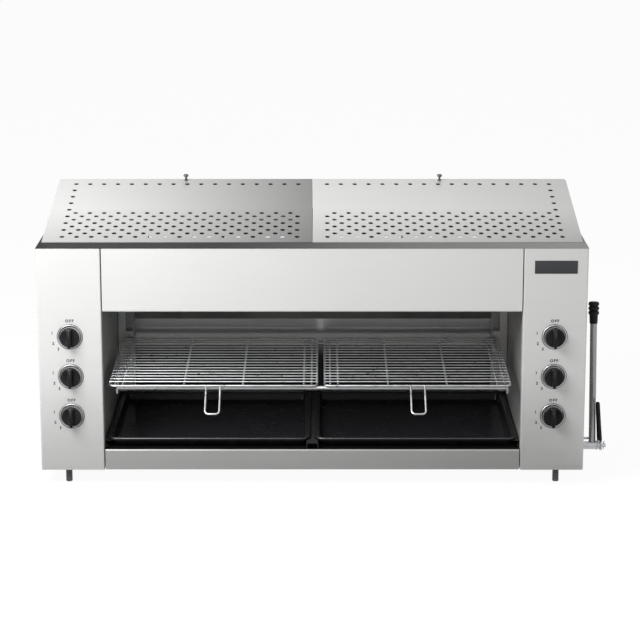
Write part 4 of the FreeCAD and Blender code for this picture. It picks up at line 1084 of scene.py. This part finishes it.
class GRILL_OT_lever(bpy.types.Operator):
    """Model the lift lever with its grip, the short catch lever and the fasteners on the shaft"""
    bl_idname = "grill.lever"
    bl_label = "Lift lever"

    def execute(self, context):
        sizes = context.scene.grill_sizes
        shaft = middle_of("cross_shaft")
        base = Vector((middle_of("lever_tube").x, shaft.y, shaft.z))
        axis = Vector((0, math.sin(sizes.lever_lean), math.cos(sizes.lever_lean)))
        make_tube(sizes, base, axis)
        make_grip(sizes, base, axis)
        make_catch(shaft)
        make_fasteners(shaft)
        return {"FINISHED"}


SHANK_TOP = 35.7 * MM
GROOVES = (6, 11, 16, 21, 26)  # heights in millimetres
THREAD_PITCH = 1.5 * MM


def foot_profile(radius, end):
    top = SHANK_TOP
    wall = radius - 0.05 * MM
    groove = radius - 0.7 * MM
    profile = [(0, 0), (radius - 1.8 * MM, 0), (radius - 0.6 * MM, 0.5 * MM), (wall, 1.8 * MM)]
    for height in GROOVES:
        steps = ((wall, 0), (groove, 0.7), (groove, 1.6), (wall, 2.3))
        profile += [(place, (height + rise) * MM) for place, rise in steps]
    profile += [(wall, top - 0.8 * MM), (radius - 0.8 * MM, top), (5 * MM, top)]
    for turn in range(int((end - top) / THREAD_PITCH)):
        height = top + turn * THREAD_PITCH
        profile += [(4.3 * MM, height + 0.2 * MM), (4.95 * MM, height + 0.9 * MM)]
    return profile + [(4.0 * MM, end), (0, end)]


class GRILL_OT_feet(bpy.types.Operator):
    """Model the four levelling feet, each a grooved shank with a rounded toe under a thread"""
    bl_idname = "grill.feet"
    bl_label = "Levelling feet"

    def execute(self, context):
        for place in ("front_left", "front_right", "rear_left", "rear_right"):
            low, high = box_of(place + "_foot")
            centre = (low + high) / 2
            centre.z = low.z
            bm = turned(foot_profile((high.x - low.x) / 2, high.z - low.z), centre, UPWARD, 36)
            finish_piece(place + "_levelling_foot", bm, "foot_metal", place + "_leveller", [place + "_foot"], 35)
        return {"FINISHED"}


SCREW_SHARES = (0.02, 0.18, 0.34, 0.5, 0.66, 0.82, 0.98)
SCREW_EDGE = 9 * MM


class GRILL_OT_badge(bpy.types.Operator):
    """Model the bare plate on the right-hand column and the screws of the back"""
    bl_idname = "grill.badge"
    bl_label = "Bare plate and back screws"

    def execute(self, context):
        low, high = box_of("badge_plate")
        plate = rounded_block(low + Vector((0, 0.02 * MM, 0)), high, 0.45 * MM, 3)
        finish_piece("bare_plate", plate, "badge_grey", "root", ["badge_plate"], 30)
        low, high = box_of("back_panel")
        profile = mm_points((0, 0), (4.2, 0), (4.0, 0.9), (2.8, 1.9), (1.2, 2.2), (1.0, 1.3), (0, 1.3))
        screws = bmesh.new()
        for share in SCREW_SHARES:
            for height in (low.z + SCREW_EDGE, high.z - SCREW_EDGE):
                spot = Vector((low.x + (high.x - low.x) * share, high.y, height))
                join(screws, turned(profile, spot, (0, 1, 0), 24))
        finish_piece("back_panel_screws", screws, "bright_chrome", "root")
        return {"FINISHED"}


# Each lamp: name, place, target, size and power
LAMPS = (
    ("key_lamp", (-1.1, -1.1, 1.6), (-0.55, -0.1, 0.58), 1.1, 86),
    ("fill_lamp", (2.4, -2.6, 1.6), (0, 0, 0.3), 2.0, 8),
    ("top_lamp", (0.2, 0.6, 3.0), (0, 0, 0.3), 2.2, 14),
)
FLOOR_SIZE = 60
FLOOR_GLOW = 0.95
SURROUND_LIGHT = 0.4


def seen_directly(tree):
    """One for rays from the camera and for mirror and glass rays, otherwise zero."""
    ray = node(tree, "ShaderNodeLightPath").outputs
    first = calculate("MAXIMUM", ray["Is Camera Ray"], ray["Is Glossy Ray"])
    return calculate("MAXIMUM", first, ray["Is Transmission Ray"])


def flat_piece(name, place, width, depth, material):
    bm = bmesh.new()
    rectangle(bm, place, width, depth)
    mesh = to_mesh(name, bm)
    mesh.materials.append(material)
    return place_object(name, mesh)


def make_floor():
    """A matt floor that looks white and still takes soft shadows."""
    material = bpy.data.materials.new("pale_floor")
    material.use_nodes = True
    tree = material.node_tree
    tree.nodes.clear()
    matt = node(tree, "ShaderNodeBsdfDiffuse")
    matt.inputs["Color"].default_value = (0.8, 0.8, 0.8, 1)
    glow = node(tree, "ShaderNodeEmission")
    mix = node(tree, "ShaderNodeMixShader")
    out = node(tree, "ShaderNodeOutputMaterial")
    share = calculate("MULTIPLY", seen_directly(tree), FLOOR_GLOW)
    link(share, mix.inputs["Fac"])
    link(matt.outputs["BSDF"], mix.inputs[1])
    link(glow.outputs["Emission"], mix.inputs[2])
    link(mix.outputs["Shader"], out.inputs["Surface"])
    floor = flat_piece("floor", Matrix(), FLOOR_SIZE, FLOOR_SIZE, material)


def make_world():
    world = bpy.data.worlds.new("white_surround")
    world.use_nodes = True
    bpy.context.scene.world = world
    tree = world.node_tree
    background = tree.nodes["Background"]
    background.inputs["Color"].default_value = (1, 1, 1, 1)
    strength = ranged(seen_directly(tree), 0, 1, SURROUND_LIGHT, 1)
    link(strength, background.inputs["Strength"])


def make_lamp(name, place, target, size, power):
    lamp = bpy.data.lights.new(name, "AREA")
    lamp.shape = "SQUARE"
    lamp.size = size
    lamp.energy = power
    holder = place_object(name, lamp)
    holder.location = place
    heading = Vector(target) - Vector(place)
    holder.rotation_euler = heading.to_track_quat("-Z", "Y").to_euler()


def make_flag(name, place, width, depth):
    """A dark card that only mirror rays meet. It gives polished steel its falls of tone."""
    material = start_material("dark_card", (0.02, 0.02, 0.02), 0, 0.9)[0]
    flag = flat_piece(name, place, width, depth, material)
    for ray in ("camera", "diffuse", "transmission", "volume_scatter", "shadow"):
        setattr(flag, "visible_" + ray, False)


def make_camera(sizes):
    camera = bpy.data.cameras.new("camera")
    camera.sensor_width = 36
    camera.lens = sizes.camera_lens
    camera.shift_y = sizes.camera_shift
    holder = place_object("camera", camera)
    holder.location = (MIDDLE_X + 17 * MM, FRONT_Y - sizes.camera_distance, sizes.camera_height)
    holder.rotation_euler = (QUARTER - sizes.camera_pitch, 0, 0)
    bpy.context.scene.camera = holder


class GRILL_OT_stage(bpy.types.Operator):
    """Set the floor, the soft lamps, the white surround and the camera"""
    bl_idname = "grill.stage"
    bl_label = "Floor, lamps and camera"

    def execute(self, context):
        make_floor()
        make_world()
        for lamp in LAMPS:
            make_lamp(*lamp)
        floor_spot = Matrix.Translation((-0.07, FRONT_Y - 0.365, 1 * MM))
        make_flag("floor_flag", floor_spot, 1.34, 0.67)
        rear_spot = Matrix.Translation((0, 2.2, 0.8)) @ Matrix.Rotation(QUARTER, 4, "X")
        make_flag("rear_flag", rear_spot, 7.0, 1.5)
        make_camera(context.scene.grill_sizes)
        context.scene.view_settings.view_transform = "Standard"
        return {"FINISHED"}


class GRILL_PT_panel(bpy.types.Panel):
    bl_label = "Salamander Grill"
    bl_idname = "GRILL_PT_panel"
    bl_space_type = "VIEW_3D"
    bl_region_type = "UI"
    bl_category = "Grill"

    def draw(self, context):
        layout = self.layout
        for operator in OPERATORS:
            layout.operator(operator.bl_idname)
        for group in (context.scene.grill_sizes, context.scene.grill_colours):
            for name in group.bl_rna.properties.keys():
                if name not in ("rna_type", "name"):
                    layout.prop(group, name)


OPERATORS = (
    GRILL_OT_finishes, GRILL_OT_knobs, GRILL_OT_bezels, GRILL_OT_racks, GRILL_OT_trays,
    GRILL_OT_canopies, GRILL_OT_lever, GRILL_OT_feet, GRILL_OT_badge, GRILL_OT_stage,
)
CLASSES = (GrillSizes, GrillColours, *OPERATORS, GRILL_PT_panel)
grill_materials = {}


def register():
    for cls in CLASSES:
        bpy.utils.register_class(cls)
    bpy.types.Scene.grill_sizes = bpy.props.PointerProperty(type=GrillSizes)
    bpy.types.Scene.grill_colours = bpy.props.PointerProperty(type=GrillColours)


def unregister():
    del bpy.types.Scene.grill_colours
    del bpy.types.Scene.grill_sizes
    for cls in reversed(CLASSES):
        bpy.utils.unregister_class(cls)


def main():
    register()
    for operator in OPERATORS:
        group, name = operator.bl_idname.split(".")
        getattr(getattr(bpy.ops, group), name)()


if __name__ == "__main__":
    main()
